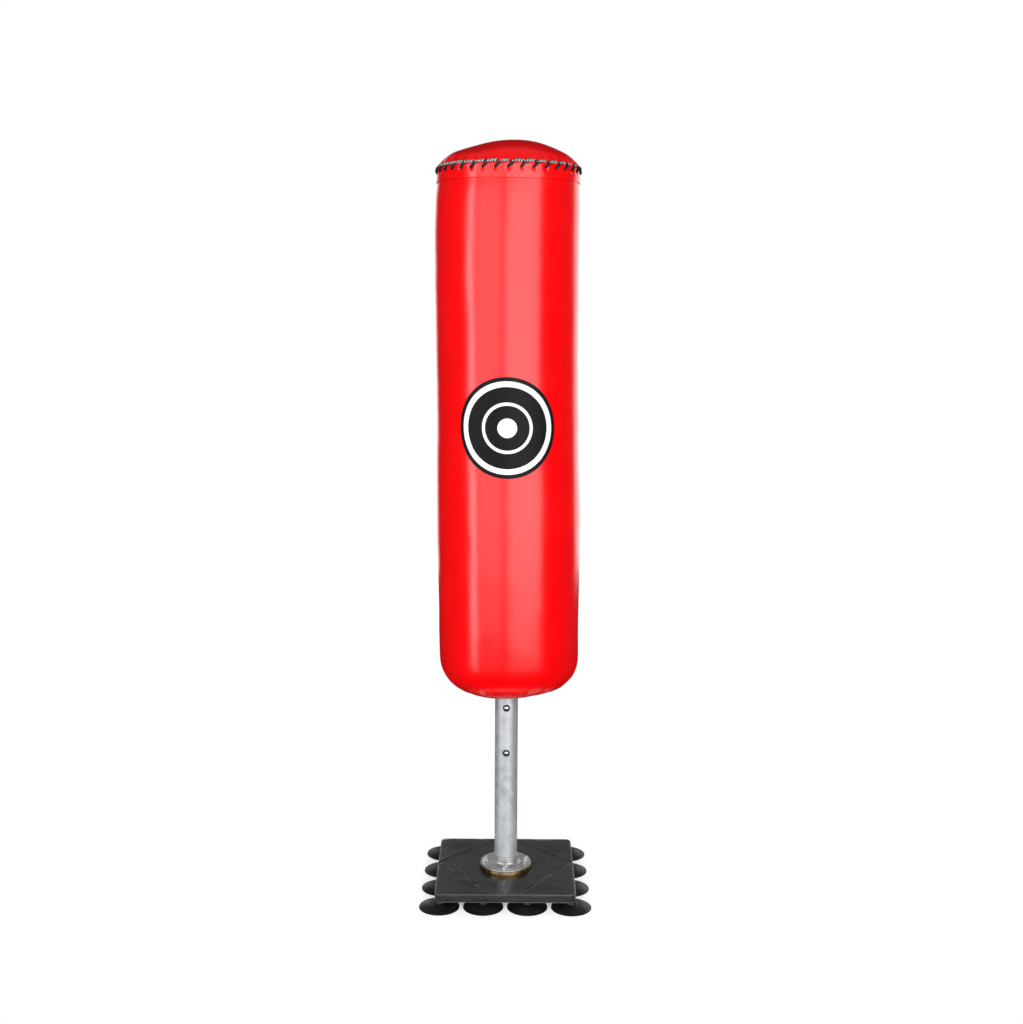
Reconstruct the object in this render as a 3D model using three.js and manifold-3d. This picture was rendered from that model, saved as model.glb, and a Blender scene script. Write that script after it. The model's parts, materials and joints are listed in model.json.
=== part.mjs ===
// Free-standing punching bag: a soft bag on a coil spring, carried by a telescoping pole that
// stands on a padded steel plate held to the floor by sixteen suction cups.
// Millimetres, +Z up, front towards -Y. The origin is on the floor, on the pole's axis.
import * as THREE from 'three';
import { mergeVertices } from 'three/addons/utils/BufferGeometryUtils.js';
import Module from 'manifold-3d';

// ---- driving dimensions ----
const GAP = 0.3; // clearance between pieces that touch
const OVERSHOOT = 1; // how far a cutting or joined solid runs past a face

// suction cups
const CUPS_PER_SIDE = 4;
const CUP_PITCH = 95;
const CUP_R = 43.7;
const CUP_RIM = 1.4; // thickness of the lip
const CUP_LIP = 3; // width of the flat lip that seals on the floor
const CUP_CROWN = 6.2; // height of the hollow under the cup
const CUP_SHOULDER_R = 26;
const CUP_SHOULDER_Z = 7.8;
const CUP_NECK_R = 11;
const CUP_NECK_FOOT_Z = 10.4;
const CUP_TOP = 14;
const PILOT_R = 3.3; // blind hole in the neck for the cup's screw
const PILOT_FLOOR = 8.2;

// cup screws, M6
const SCREW_R = 3;
const SCREW_HEAD_R = 5.8;
const SCREW_HEAD_H = 4;

// base plate, foam and cover
const PLATE_SIDE = 300;
const PLATE_THICK = 4;
const PLATE_CORNER = 12;
const PLATE_Z = CUP_TOP + GAP;
const SCREW_HOLE_R = 3.5;
const FOAM_THICK = 12;
const FOAM_POCKET_R = 7.2; // round the heads of the cup screws
const LEATHER = 2;
const COVER_SIDE = 306;
const COVER_CORNER = 15;

// spacer ring, flange and their four M8 bolts
const RING_R = 57;
const RING_BORE_R = 30;
const RING_HEIGHT = 21;
const FLANGE_R = 56.5;
const FLANGE_THICK = 4.4;
const HUB_R = 28.5;
const HUB_HEIGHT = 22;
const FLANGE_EDGE = 0.8; // chamfer of the flange's rim
const HUB_FILLET = 5; // sweep from the flange up into the hub
const HUB_LIP = 3; // slope at the hub's top, down to the weld
const BOLTS = 4;
const BOLT_CIRCLE_R = 46;
const BOLT_R = 4;
const BOLT_HOLE_R = 4.5;
const BOLT_HEAD_H = 5.3;
const BOLT_TIP_Z = 56;
const NUT_R = 7.5; // across corners, halved
const NUT_H = 6.5;

// pole and the tube that slides in it
const POLE_R = 25.4;
const TUBE_WALL = 2;
const POLE_TOP = 468;
const SLIDE_CLEARANCE = 0.35;
const SLIDER_BOTTOM = 230;
const SLIDER_TOP = 492;
const BUTTON_HEIGHTS = { lower: 305.2, upper: 408.4 };
const BUTTON_HOLE_R = 6; // in the pole and in the sliding tube

// snap buttons and the leaf springs behind them
const BUTTON_R = 5.5;
const BUTTON_TIP = 28; // distance of the button's tip from the pole's axis
const BUTTON_DOME = 2.2; // height of the dome in front of the straight side
const DOME_FLAT_R = 3.4;
const DOME_EDGE = 0.5;
const BUTTON_FLANGE_R = 8.4;
const BUTTON_FLANGE_FACE = 18.9;
const BUTTON_BACK = 17.6;
const CLIP_THICK = 1;
const CLIP_WIDTH = 8;
const CLIP_DROP = 52; // how far the leaf hangs below its button
const CLIP_PAD = 9; // half the height of the straight ends that bear on button and tube
const CLIP_BEND = 4; // half the width of the bend at the bottom

// swing spring and its seats
const SPRING_LOW = 496.3;
const SPRING_HIGH = 593.7;
const SPRING_MEAN_R = 25;
const WIRE_R = 5.5;
const SPRING_PITCH = 11.6;
const SEAT_R = 36;
const SEAT_THICK = 6;
const SEAT_SKIRT_Z = POLE_TOP + 8; // lower end of the socket over the sliding tube
const SPIGOT_R = 17.5;
const SPIGOT_LENGTH = 24;
const SPIGOT_CHAMFER = 2;
const SOCKET_WALL = 4;
const CORE_SOCKET = 22; // depth of the socket for the core tube
const UPPER_SEAT_R = 60;

// bag
const BAG_BOTTOM = 452;
const BAG_CORNER = 68;
const BAG_R_LOW = 152;
const BAG_R_HIGH = 149.3;
const TAPER_FROM = 600;
const TAPER_TO = 1150;
const HEM_FROM = 1484;
const HEM_TO = 1542;
const HEM_R = 148;
const LACE_PLANE = 1566; // where the body and the top cap meet
const BAG_TOP = 1626.5;
const DOME_POWER = 1.75;
const SKIN = 2.4;
const MOUTH_R = 66; // opening in the underside
const THROAT_R = 47; // the same opening where it meets the upper spring seat
const CORE_R = 24;
const CORE_WALL = 2;
const CORE_TOP = 1510;
const FOAM_R = 95;
const FOAM_TOP = 1500;
const FOAM_FOOT_TOP = TAPER_FROM;
const FILL_OVER_FOAM = 12; // from the foam to the roof of the hollow over the core tube
const LACE_OUT = 151.4;
const LACE_IN = 148.4;
const LACE_LOW = 1553;
const LACE_HIGH = 1577.5;
const LACE_ROUND = [1.2, 5]; // rounding of its outer edges, across and up

// facets round each turned piece
const CUP_SIDES = 12;
const BAG_SIDES = 32;
const TUBE_SIDES = 32;
const SEAT_SIDES = 24;
const BUTTON_SIDES = 16;
const BOLT_SIDES = 12;
const SCREW_SIDES = 8;
const HEX = 6;

// ---- materials ----
const finish = (color, roughness, metalness) =>
  new THREE.MeshStandardMaterial({ color, roughness, metalness });
const redLeather = finish(0xe3020f, 0.38, 0);
const blackLeather = finish(0x29292b, 0.5, 0);
const blackRubber = finish(0x1a1a1b, 0.6, 0);
const blackCord = finish(0x161616, 0.8, 0);
const zincSteel = finish(0xb9bcc1, 0.38, 1);
const goldZinc = finish(0x8a6c3a, 0.35, 1);
const paintedSteel = finish(0x2b2c2e, 0.5, 0.6);
const springSteel = finish(0x3a3b3e, 0.4, 0.9);
const greyFoam = finish(0x55585c, 0.95, 0);
const textile = finish(0x8d8a86, 0.95, 0);

// ---- solids ----
const wasm = await Module();
wasm.setup();

function solidOf(geometry) {
  const bare = geometry.clone();
  bare.deleteAttribute('normal');
  bare.deleteAttribute('uv');
  const merged = mergeVertices(bare, 1e-3);
  return new wasm.Manifold(new wasm.Mesh({
    numProp: 3,
    vertProperties: merged.attributes.position.array,
    triVerts: new Uint32Array(merged.index.array),
  }));
}

function geometryOf(solid) {
  const { vertProperties, triVerts } = solid.getMesh();
  const geometry = new THREE.BufferGeometry();
  geometry.setAttribute('position', new THREE.BufferAttribute(vertProperties, 3));
  geometry.setIndex(new THREE.BufferAttribute(triVerts, 1));
  geometry.computeVertexNormals();
  return geometry;
}

const cut = (geometry, tools) =>
  geometryOf(tools.reduce((solid, tool) => solid.subtract(solidOf(tool)), solidOf(geometry)));

const join = (a, b) => geometryOf(solidOf(a).add(solidOf(b)));

// A body of revolution about +Z from [radius, z] points that start and end on the axis, or that
// run once round a ring. The outline may be given in either direction.
function turned(points, sides) {
  const onAxis = points[0][0] === 0 && points.at(-1)[0] === 0;
  const loop = onAxis ? [...points] : [...points, points[0]];
  const area = points.reduce((sum, [r, z], i) => {
    const [r2, z2] = points[(i + 1) % points.length];
    return sum + r * z2 - r2 * z;
  }, 0);
  if (area < 0) loop.reverse();
  const profile = loop.map(([r, z]) => new THREE.Vector2(r, z));
  return new THREE.LatheGeometry(profile, sides).rotateX(Math.PI / 2);
}

// A plate or prism: an outline in the XY plane raised from z by height.
const raised = (shape, z, height) =>
  new THREE.ExtrudeGeometry(shape, { depth: height, bevelEnabled: false, curveSegments: 3 })
    .translate(0, 0, z);

// An upright round or hexagonal bar at x, y.
const bar = (radius, low, high, sides = BOLT_SIDES, x = 0, y = 0) =>
  new THREE.CylinderGeometry(radius, radius, high - low, sides)
    .rotateX(Math.PI / 2)
    .translate(x, y, (low + high) / 2);

function roundedSquare(side, corner) {
  const half = side / 2;
  const c = half - corner;
  const shape = new THREE.Shape();
  shape.absarc(c, c, corner, 0, Math.PI / 2);
  shape.absarc(-c, c, corner, Math.PI / 2, Math.PI);
  shape.absarc(-c, -c, corner, Math.PI, 1.5 * Math.PI);
  shape.absarc(c, -c, corner, 1.5 * Math.PI, 2 * Math.PI);
  return shape;
}

// ---- assembly ----
const bagOnStand = new THREE.Group();

function place(name, geometry, material, position = [0, 0, 0]) {
  const mesh = new THREE.Mesh(geometry, material);
  mesh.name = name;
  mesh.position.set(...position);
  bagOnStand.add(mesh);
}

const cupPlaces = [];
for (let row = 0; row < CUPS_PER_SIDE; row++) {
  for (let column = 0; column < CUPS_PER_SIDE; column++) {
    const middle = (CUPS_PER_SIDE - 1) / 2;
    cupPlaces.push([(column - middle) * CUP_PITCH, (row - middle) * CUP_PITCH]);
  }
}

const boltPlaces = [];
for (let i = 0; i < BOLTS; i++) {
  const turn = (i / BOLTS) * 2 * Math.PI - Math.PI / 2;
  boltPlaces.push([BOLT_CIRCLE_R * Math.cos(turn), BOLT_CIRCLE_R * Math.sin(turn)]);
}

const numbered = (name, i) => `${name}_${String(i + 1).padStart(2, '0')}`;

// ---- suction cups and their screws ----
const plateTop = PLATE_Z + PLATE_THICK;
const foamZ = plateTop + GAP;
const foamTop = foamZ + FOAM_THICK;
const ringHoleR = RING_R + 2 * GAP;

function suctionCup() {
  return turned([
    [0, CUP_CROWN], [CUP_R - CUP_LIP, 0], [CUP_R, 0], [CUP_R, CUP_RIM],
    [CUP_SHOULDER_R, CUP_SHOULDER_Z], [CUP_NECK_R, CUP_NECK_FOOT_Z], [CUP_NECK_R, CUP_TOP],
    [PILOT_R, CUP_TOP], [PILOT_R, PILOT_FLOOR], [0, PILOT_FLOOR],
  ], CUP_SIDES);
}

function cupScrew() {
  const head = bar(SCREW_HEAD_R, foamZ, foamZ + SCREW_HEAD_H, HEX);
  return join(head, bar(SCREW_R, PILOT_FLOOR + GAP, foamZ + OVERSHOOT, SCREW_SIDES));
}

const cup = suctionCup();
const screw = cupScrew();
cupPlaces.forEach(([x, y], i) => {
  place(numbered('suction_cup', i), cup, blackRubber, [x, y, 0]);
  place(numbered('cup_screw', i), screw, zincSteel, [x, y, 0]);
});

// ---- padded base ----
function basePlate() {
  const plate = raised(roundedSquare(PLATE_SIDE, PLATE_CORNER), PLATE_Z, PLATE_THICK);
  const low = PLATE_Z - OVERSHOOT;
  const high = plateTop + OVERSHOOT;
  const screwHoles = cupPlaces.map(([x, y]) => bar(SCREW_HOLE_R, low, high, SCREW_SIDES, x, y));
  const boltHoles = boltPlaces.map(([x, y]) => bar(BOLT_HOLE_R, low, high, BOLT_SIDES, x, y));
  return cut(plate, [...screwHoles, ...boltHoles]);
}

function baseFoam() {
  const sheet = raised(roundedSquare(PLATE_SIDE, PLATE_CORNER), foamZ, FOAM_THICK);
  const low = foamZ - OVERSHOOT;
  const high = foamTop + OVERSHOOT;
  const pockets = cupPlaces.map(([x, y]) => bar(FOAM_POCKET_R, low, high, SCREW_SIDES, x, y));
  return cut(sheet, [...pockets, bar(ringHoleR, low, high, BAG_SIDES)]);
}

function baseCover() {
  const inside = foamTop + GAP;
  const top = inside + LEATHER;
  const outer = raised(roundedSquare(COVER_SIDE, COVER_CORNER), PLATE_Z, top - PLATE_Z);
  const inner = raised(
    roundedSquare(COVER_SIDE - 2 * LEATHER, COVER_CORNER - LEATHER),
    PLATE_Z - OVERSHOOT, inside - PLATE_Z + OVERSHOOT);
  return cut(outer, [inner, bar(ringHoleR, inside - OVERSHOOT, top + OVERSHOOT, BAG_SIDES)]);
}

place('base_plate', basePlate(), paintedSteel);
place('base_foam', baseFoam(), greyFoam);
place('base_cover', baseCover(), blackLeather);

// ---- spacer ring, flange, bolts and nuts ----
const ringTop = foamZ + RING_HEIGHT;
const flangeZ = ringTop + GAP;
const flangeTop = flangeZ + FLANGE_THICK;
const hubTop = flangeZ + HUB_HEIGHT;
const boltHolesThrough = boltPlaces.map(([x, y]) =>
  bar(BOLT_HOLE_R, foamZ - OVERSHOOT, flangeTop + OVERSHOOT, BOLT_SIDES, x, y));

function spacerRing() {
  const ring = turned([
    [RING_BORE_R, foamZ], [RING_R, foamZ], [RING_R, ringTop], [RING_BORE_R, ringTop],
  ], BAG_SIDES);
  return cut(ring, boltHolesThrough);
}

function poleFlange() {
  const bore = POLE_R + GAP;
  const flange = turned([
    [bore, flangeZ], [FLANGE_R, flangeZ], [FLANGE_R, flangeTop - FLANGE_EDGE],
    [FLANGE_R - FLANGE_EDGE, flangeTop], [HUB_R + HUB_FILLET, flangeTop],
    [HUB_R + HUB_FILLET / 4, flangeTop + HUB_FILLET * 0.7], [HUB_R, hubTop - HUB_LIP],
    [bore + HUB_LIP / 3, hubTop], [bore, hubTop],
  ], BAG_SIDES);
  return cut(flange, boltHolesThrough);
}

function flangeBolt() {
  const headTop = PLATE_Z - GAP;
  const head = bar(NUT_R, headTop - BOLT_HEAD_H, headTop, HEX);
  return join(head, bar(BOLT_R, headTop - OVERSHOOT, BOLT_TIP_Z));
}

function flangeNut() {
  const z = flangeTop + GAP;
  const bore = bar(BOLT_R + GAP, z - OVERSHOOT, z + NUT_H + OVERSHOOT);
  return cut(bar(NUT_R, z, z + NUT_H, HEX), [bore]);
}

place('spacer_ring', spacerRing(), goldZinc);
place('pole_flange', poleFlange(), zincSteel);
const bolt = flangeBolt();
const nut = flangeNut();
boltPlaces.forEach(([x, y], i) => {
  place(numbered('flange_bolt', i), bolt, zincSteel, [x, y, 0]);
  place(numbered('flange_nut', i), nut, zincSteel, [x, y, 0]);
});

// ---- pole and sliding tube ----
const sliderR = POLE_R - TUBE_WALL - SLIDE_CLEARANCE;

// A hole through the front wall of a tube, for a snap button at height z.
const frontHole = (z) =>
  new THREE.CylinderGeometry(BUTTON_HOLE_R, BUTTON_HOLE_R, POLE_R, BUTTON_SIDES)
    .translate(0, -POLE_R, z);

function tube(radius, low, high) {
  const inner = radius - TUBE_WALL;
  const wall = turned([[inner, low], [radius, low], [radius, high], [inner, high]], TUBE_SIDES);
  return cut(wall, Object.values(BUTTON_HEIGHTS).map(frontHole));
}

place('pole', tube(POLE_R, flangeZ, POLE_TOP), zincSteel);
place('inner_tube', tube(sliderR, SLIDER_BOTTOM, SLIDER_TOP), zincSteel);

// ---- snap buttons and their leaf springs ----
// The button is turned about the Y axis: its dome faces the front and a flange stops it inside.
function snapButton() {
  const shoulder = BUTTON_TIP - BUTTON_DOME;
  const profile = turned([
    [0, BUTTON_TIP], [DOME_FLAT_R, BUTTON_TIP - DOME_EDGE], [BUTTON_R, shoulder],
    [BUTTON_R, BUTTON_FLANGE_FACE], [BUTTON_FLANGE_R, BUTTON_FLANGE_FACE],
    [BUTTON_FLANGE_R, BUTTON_BACK], [0, BUTTON_BACK],
  ], BUTTON_SIDES);
  return profile.rotateX(Math.PI / 2);
}

// A V of spring strip: its front leg presses on the button and its back leg bears on the tube.
function buttonClip() {
  const front = -(BUTTON_BACK - GAP);
  const back = sliderR - TUBE_WALL - 2 * GAP;
  const t = CLIP_THICK;
  const inner = CLIP_BEND - t;
  const outline = new THREE.Shape([
    [front, CLIP_PAD], [front, -CLIP_PAD], [-CLIP_BEND, -CLIP_DROP], [CLIP_BEND, -CLIP_DROP],
    [back, -CLIP_PAD], [back, CLIP_PAD], [back - t, CLIP_PAD], [back - t, -CLIP_PAD],
    [inner, t - CLIP_DROP], [-inner, t - CLIP_DROP], [front + t, -CLIP_PAD], [front + t, CLIP_PAD],
  ].map(([y, z]) => new THREE.Vector2(y, z)));
  const strip = new THREE.ExtrudeGeometry(outline, { depth: CLIP_WIDTH, bevelEnabled: false });
  strip.translate(0, 0, -CLIP_WIDTH / 2);
  // the outline's x and y become the part's Y and Z
  return strip.applyMatrix4(new THREE.Matrix4().makeBasis(
    new THREE.Vector3(0, 1, 0), new THREE.Vector3(0, 0, 1), new THREE.Vector3(1, 0, 0)));
}

for (const [which, z] of Object.entries(BUTTON_HEIGHTS)) {
  place(`snap_button_${which}`, snapButton(), zincSteel, [0, 0, z]);
  place(`button_clip_${which}`, buttonClip(), springSteel, [0, 0, z]);
}

// ---- swing spring between its two seats ----
class Coil extends THREE.Curve {
  constructor(radius, low, high, turns) {
    super();
    Object.assign(this, { radius, low, high, turns });
  }

  getPoint(t, target = new THREE.Vector3()) {
    const angle = t * this.turns * 2 * Math.PI;
    return target.set(
      this.radius * Math.cos(angle), this.radius * Math.sin(angle),
      this.low + t * (this.high - this.low));
  }
}

function swingSpring() {
  const low = SPRING_LOW + WIRE_R + GAP;
  const high = SPRING_HIGH - WIRE_R - GAP;
  const turns = (high - low) / SPRING_PITCH;
  const section = new THREE.Shape().absarc(0, 0, WIRE_R, 0, 2 * Math.PI);
  return new THREE.ExtrudeGeometry(section, {
    extrudePath: new Coil(SPRING_MEAN_R, low, high, turns),
    steps: Math.round(turns * 10),
    curveSegments: 4,
    bevelEnabled: false,
  });
}

function lowerSeat() {
  const top = SPRING_LOW - GAP;
  const socket = sliderR + GAP;
  const stop = SLIDER_TOP + GAP;
  const tip = top + SPIGOT_LENGTH;
  return turned([
    [0, tip], [SPIGOT_R - SPIGOT_CHAMFER, tip], [SPIGOT_R, tip - SPIGOT_CHAMFER], [SPIGOT_R, top],
    [SEAT_R, top], [SEAT_R, top - SEAT_THICK], [socket + SOCKET_WALL, top - SEAT_THICK],
    [socket + SOCKET_WALL, SEAT_SKIRT_Z], [socket, SEAT_SKIRT_Z], [socket, stop], [0, stop],
  ], SEAT_SIDES);
}

const upperSeatZ = SPRING_HIGH + GAP;
const upperSeatTop = upperSeatZ + SEAT_THICK;
const socketTop = upperSeatTop + CORE_SOCKET;
const socketR = CORE_R + GAP + SOCKET_WALL;

function upperSeat() {
  const tip = upperSeatZ - SPIGOT_LENGTH;
  return turned([
    [0, tip], [SPIGOT_R - SPIGOT_CHAMFER, tip], [SPIGOT_R, tip + SPIGOT_CHAMFER],
    [SPIGOT_R, upperSeatZ], [UPPER_SEAT_R, upperSeatZ],
    [UPPER_SEAT_R, upperSeatTop], [socketR, upperSeatTop], [socketR, socketTop],
    [CORE_R + GAP, socketTop], [CORE_R + GAP, upperSeatTop + GAP], [0, upperSeatTop + GAP],
  ], SEAT_SIDES);
}

place('lower_spring_seat', lowerSeat(), paintedSteel);
place('core_spring', swingSpring(), springSteel);
place('upper_spring_seat', upperSeat(), paintedSteel);

// ---- bag ----
const clamp01 = (x) => Math.min(Math.max(x, 0), 1);
const ease = (t) => (1 - Math.cos(Math.PI * clamp01(t))) / 2;
const barrelRadius = (z) => BAG_R_LOW
  + (BAG_R_HIGH - BAG_R_LOW) * ease((z - TAPER_FROM) / (TAPER_TO - TAPER_FROM))
  + (HEM_R - BAG_R_HIGH) * ease((z - HEM_FROM) / (HEM_TO - HEM_FROM));

// The bag's side from its rounded bottom corner up to the lacing, moved inwards by inset.
function sideOutline(inset) {
  const points = [];
  const steps = 5;
  for (let i = 0; i <= steps; i++) {
    const turn = (i / steps) * Math.PI / 2;
    points.push([
      BAG_R_LOW - BAG_CORNER + (BAG_CORNER - inset) * Math.sin(turn),
      BAG_BOTTOM + BAG_CORNER - (BAG_CORNER - inset) * Math.cos(turn),
    ]);
  }
  for (let i = 0; i <= 3; i++) {
    const z = TAPER_FROM + (i / 3) * (TAPER_TO - TAPER_FROM);
    points.push([barrelRadius(z) - inset, z]);
  }
  for (const z of [HEM_FROM, (HEM_FROM + HEM_TO) / 2, HEM_TO]) {
    points.push([barrelRadius(z) - inset, z]);
  }
  return points;
}

// The top cap's dome from its edge to the axis, a superellipse moved inwards by inset.
function domeOutline(inset) {
  const points = [];
  const steps = 6;
  for (let i = 0; i <= steps; i++) {
    const turn = (i / steps) * Math.PI / 2;
    points.push([
      i === steps ? 0 : (HEM_R - inset) * Math.cos(turn) ** (2 / DOME_POWER),
      LACE_PLANE + GAP / 2 + (BAG_TOP - LACE_PLANE - GAP / 2 - inset) * Math.sin(turn) ** (2 / DOME_POWER),
    ]);
  }
  return points;
}

function bagCover() {
  const edge = LACE_PLANE - GAP / 2;
  const liningTop = upperSeatZ - GAP;
  return turned([
    [MOUTH_R, BAG_BOTTOM], ...sideOutline(0), [HEM_R, edge], [HEM_R - SKIN, edge],
    ...sideOutline(SKIN).reverse(), [MOUTH_R + SKIN, BAG_BOTTOM + SKIN],
    [THROAT_R + SKIN, liningTop], [THROAT_R, liningTop],
  ], BAG_SIDES);
}

const fillInset = SKIN + 2 * GAP;

const topCap = () => turned([...domeOutline(0), ...domeOutline(SKIN).reverse()], BAG_SIDES);

// Foam round the core tube. Its foot fills the rounded bottom of the bag, round the mouth.
function foamCore() {
  const shelf = upperSeatTop + GAP;
  const underSeat = upperSeatZ - 2 * GAP;
  return turned([
    [MOUTH_R + fillInset, BAG_BOTTOM + fillInset],
    ...sideOutline(fillInset).filter(([, z]) => z < FOAM_FOOT_TOP),
    [BAG_R_LOW - fillInset, FOAM_FOOT_TOP], [FOAM_R, FOAM_FOOT_TOP], [FOAM_R, FOAM_TOP],
    [CORE_R + GAP, FOAM_TOP], [CORE_R + GAP, socketTop + GAP], [socketR + GAP, socketTop + GAP],
    [socketR + GAP, shelf], [UPPER_SEAT_R + GAP, shelf], [UPPER_SEAT_R + GAP, underSeat],
    [THROAT_R + fillInset, underSeat],
  ], BAG_SIDES);
}

// Textile shreds packed round and over the foam, on top of its foot.
function textileFill() {
  const inner = FOAM_R + GAP;
  const low = FOAM_FOOT_TOP + GAP;
  const roof = FOAM_TOP + FILL_OVER_FOAM;
  return turned([
    [inner, low], [BAG_R_LOW - fillInset, low],
    ...sideOutline(fillInset).filter(([, z]) => z > low), ...domeOutline(fillInset),
    [0, roof], [inner, roof],
  ], BAG_SIDES);
}

function coreTube() {
  const inner = CORE_R - CORE_WALL;
  const z = upperSeatTop + 2 * GAP;
  return turned([[inner, z], [CORE_R, z], [CORE_R, CORE_TOP], [inner, CORE_TOP]], SEAT_SIDES);
}

// The outer shape of the lace where it is wound round the seam between body and cap.
const lacingRing = () => turned([
  [LACE_IN, LACE_LOW], [LACE_OUT - LACE_ROUND[0], LACE_LOW], [LACE_OUT, LACE_LOW + LACE_ROUND[1]],
  [LACE_OUT, LACE_HIGH - LACE_ROUND[1]], [LACE_OUT - LACE_ROUND[0], LACE_HIGH], [LACE_IN, LACE_HIGH],
], BAG_SIDES);

place('core_tube', coreTube(), zincSteel);
place('foam_core', foamCore(), greyFoam);
place('textile_fill', textileFill(), textile);
place('bag_cover', bagCover(), redLeather);
place('top_cap', topCap(), redLeather);
place('lacing_cord', lacingRing(), blackCord);

export default bagOnStand;
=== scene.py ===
import json
import math

import bmesh
import bpy
import numpy as np
from mathutils import Matrix, Vector, noise
from mathutils.bvhtree import BVHTree

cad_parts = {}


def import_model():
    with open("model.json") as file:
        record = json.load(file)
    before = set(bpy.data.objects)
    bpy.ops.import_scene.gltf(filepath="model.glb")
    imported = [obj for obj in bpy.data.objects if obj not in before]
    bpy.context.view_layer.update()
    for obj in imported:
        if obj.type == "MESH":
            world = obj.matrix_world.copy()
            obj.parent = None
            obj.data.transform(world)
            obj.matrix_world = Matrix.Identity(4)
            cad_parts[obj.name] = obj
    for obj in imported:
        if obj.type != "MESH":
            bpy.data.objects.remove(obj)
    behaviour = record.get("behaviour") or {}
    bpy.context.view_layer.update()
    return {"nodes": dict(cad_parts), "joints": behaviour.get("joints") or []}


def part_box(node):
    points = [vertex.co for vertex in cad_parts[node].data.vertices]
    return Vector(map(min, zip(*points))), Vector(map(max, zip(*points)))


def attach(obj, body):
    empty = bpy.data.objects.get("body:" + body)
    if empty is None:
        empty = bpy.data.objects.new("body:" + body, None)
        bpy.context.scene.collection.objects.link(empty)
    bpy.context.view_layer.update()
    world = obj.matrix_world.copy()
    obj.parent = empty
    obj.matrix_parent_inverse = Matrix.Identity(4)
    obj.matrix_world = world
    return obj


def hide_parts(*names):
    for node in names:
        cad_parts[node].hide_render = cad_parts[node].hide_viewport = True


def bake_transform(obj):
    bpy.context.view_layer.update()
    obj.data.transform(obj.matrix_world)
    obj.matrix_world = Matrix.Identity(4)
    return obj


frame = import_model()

MM = 0.001
TAU = 2 * math.pi

# ---- places taken from the frame ----
cover_lo, cover_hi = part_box("bag_cover")
cap_lo, cap_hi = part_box("top_cap")
pad_lo, pad_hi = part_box("base_cover")
ring_lo, ring_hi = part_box("spacer_ring")
flange_lo, flange_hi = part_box("pole_flange")
spring_lo, spring_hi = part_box("core_spring")
BAG_BOTTOM, BAG_EDGE = cover_lo.z, cover_hi.z
R_LOW, R_HIGH, R_HEM = cover_hi.x, 0.150, 0.148  # the cover's radius low down, higher up and at the hem
CORNER = 0.068  # radius of the cover's rounded bottom edge
MOUTH_R, THROAT_R = 0.066, 0.047  # the cover's opening, and the top end of the sleeve in it
HEM_LINE = BAG_EDGE - 0.0283
STITCHES = 36
HOLE_DROP = 0.0080  # from the cover's edge down to the lace holes
SEAM_ANGLE = math.pi  # the long seam of the cover is at the back
INSIDE = 0.0048  # how far the fill stays inside the cover's outer face
FILL_GAP = 0.0005
FOOT_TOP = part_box("textile_fill")[0].z  # where the foam core's foot ends and the shreds begin
COLUMN_R = 0.095
SOCKET_R = 0.0315
DOME_POWER = 1.75  # of the superellipse that gives the cap's section
POLE_R, SLIDER_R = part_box("pole")[1].x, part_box("inner_tube")[1].x
BUTTON_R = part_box("snap_button_lower")[1].x - 0.0018
PAD_HALF, PAD_TOP, PAD_FOOT = pad_hi.x, pad_hi.z, pad_lo.z
PAD_CORNER = 0.011
RING_HOLE = 0.0578  # radius of the hole in the pad's cover, under the ring
PAD_EDGE_Z = PAD_TOP - 0.0008
PIVOT = Vector(next(j["pos_m"] for j in frame["joints"] if j["name"] == "swing_sideways"))


def button_points():
    """Which button, and its height, for both."""
    found = []
    for which in ("lower", "upper"):
        lo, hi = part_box("snap_button_" + which)
        found.append((which, (lo.z + hi.z) / 2))
    return found


# ---------------------------------------------------------------- meshes
def add_object(name, data):
    obj = bpy.data.objects.new(name, data)
    bpy.context.scene.collection.objects.link(obj)
    return obj


def place(obj, body, slot, node=None, fill=None):
    """Hangs obj on its body and hides the CAD node it stands for. Its material slot and how tight its padding is
    are not used.
    """
    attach(obj, body)
    if node is not None:
        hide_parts(node)


def piece(name, vertices, faces, material, sharp=None):
    """A smooth-shaded mesh object from vertices and faces, with one material or a list of them."""
    mesh = bpy.data.meshes.new(name)
    mesh.from_pydata([tuple(v) for v in vertices], [], faces)
    obj = add_object(name, mesh)
    for m in material if isinstance(material, list) else [material]:
        mesh.materials.append(m)
    mesh.shade_smooth()
    if sharp is not None:
        mesh.set_sharp_from_angle(angle=math.radians(sharp))
    return obj


def rows_to_faces(rows, closed):
    """Faces between consecutive rows of vertex indices. A row with one index is a pole."""
    faces = []
    for a, b in zip(rows, rows[1:]):
        n = max(len(a), len(b))
        for i in range(n if closed else n - 1):
            j = (i + 1) % n
            if len(a) == 1:
                faces.append((a[0], b[i], b[j]))
            elif len(b) == 1:
                faces.append((a[i], b[0], a[j]))
            else:
                faces.append((a[i], b[i], b[j], a[j]))
    return faces


def skin(name, rows, material, ring=False, sharp=None):
    """A surface through rows of points that each run once round. The rows go upwards on the outside.
    With ring, the last row joins the first one again."""
    vertices, index = [], []
    for row in rows:
        index.append(list(range(len(vertices), len(vertices) + len(row))))
        vertices.extend(row)
    if ring:
        index.append(index[0])
    faces = [tuple(reversed(f)) for f in rows_to_faces(index, closed=True)]
    return piece(name, vertices, faces, material, sharp=sharp)


def circle(r, z, sides):
    """Points round the axis at height z. r is a radius, or a function of the angle."""
    if not callable(r) and r == 0:
        return [(0, 0, z)]
    points = []
    for i in range(sides):
        a = TAU * i / sides
        here = r(a) if callable(r) else r
        points.append((here * math.sin(a), -here * math.cos(a), z))
    return points


def moved(row, centre):
    """The row of points moved sideways to a centre."""
    return [(x + centre[0], y + centre[1], z) for x, y, z in row]


def turned(name, outline, material, sides=160, sharp=35):
    """A turned ring from (radius, z) points that run anticlockwise round its section."""
    return skin(name, [circle(r, z, sides) for r, z in outline], material, ring=True, sharp=sharp)


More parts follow.
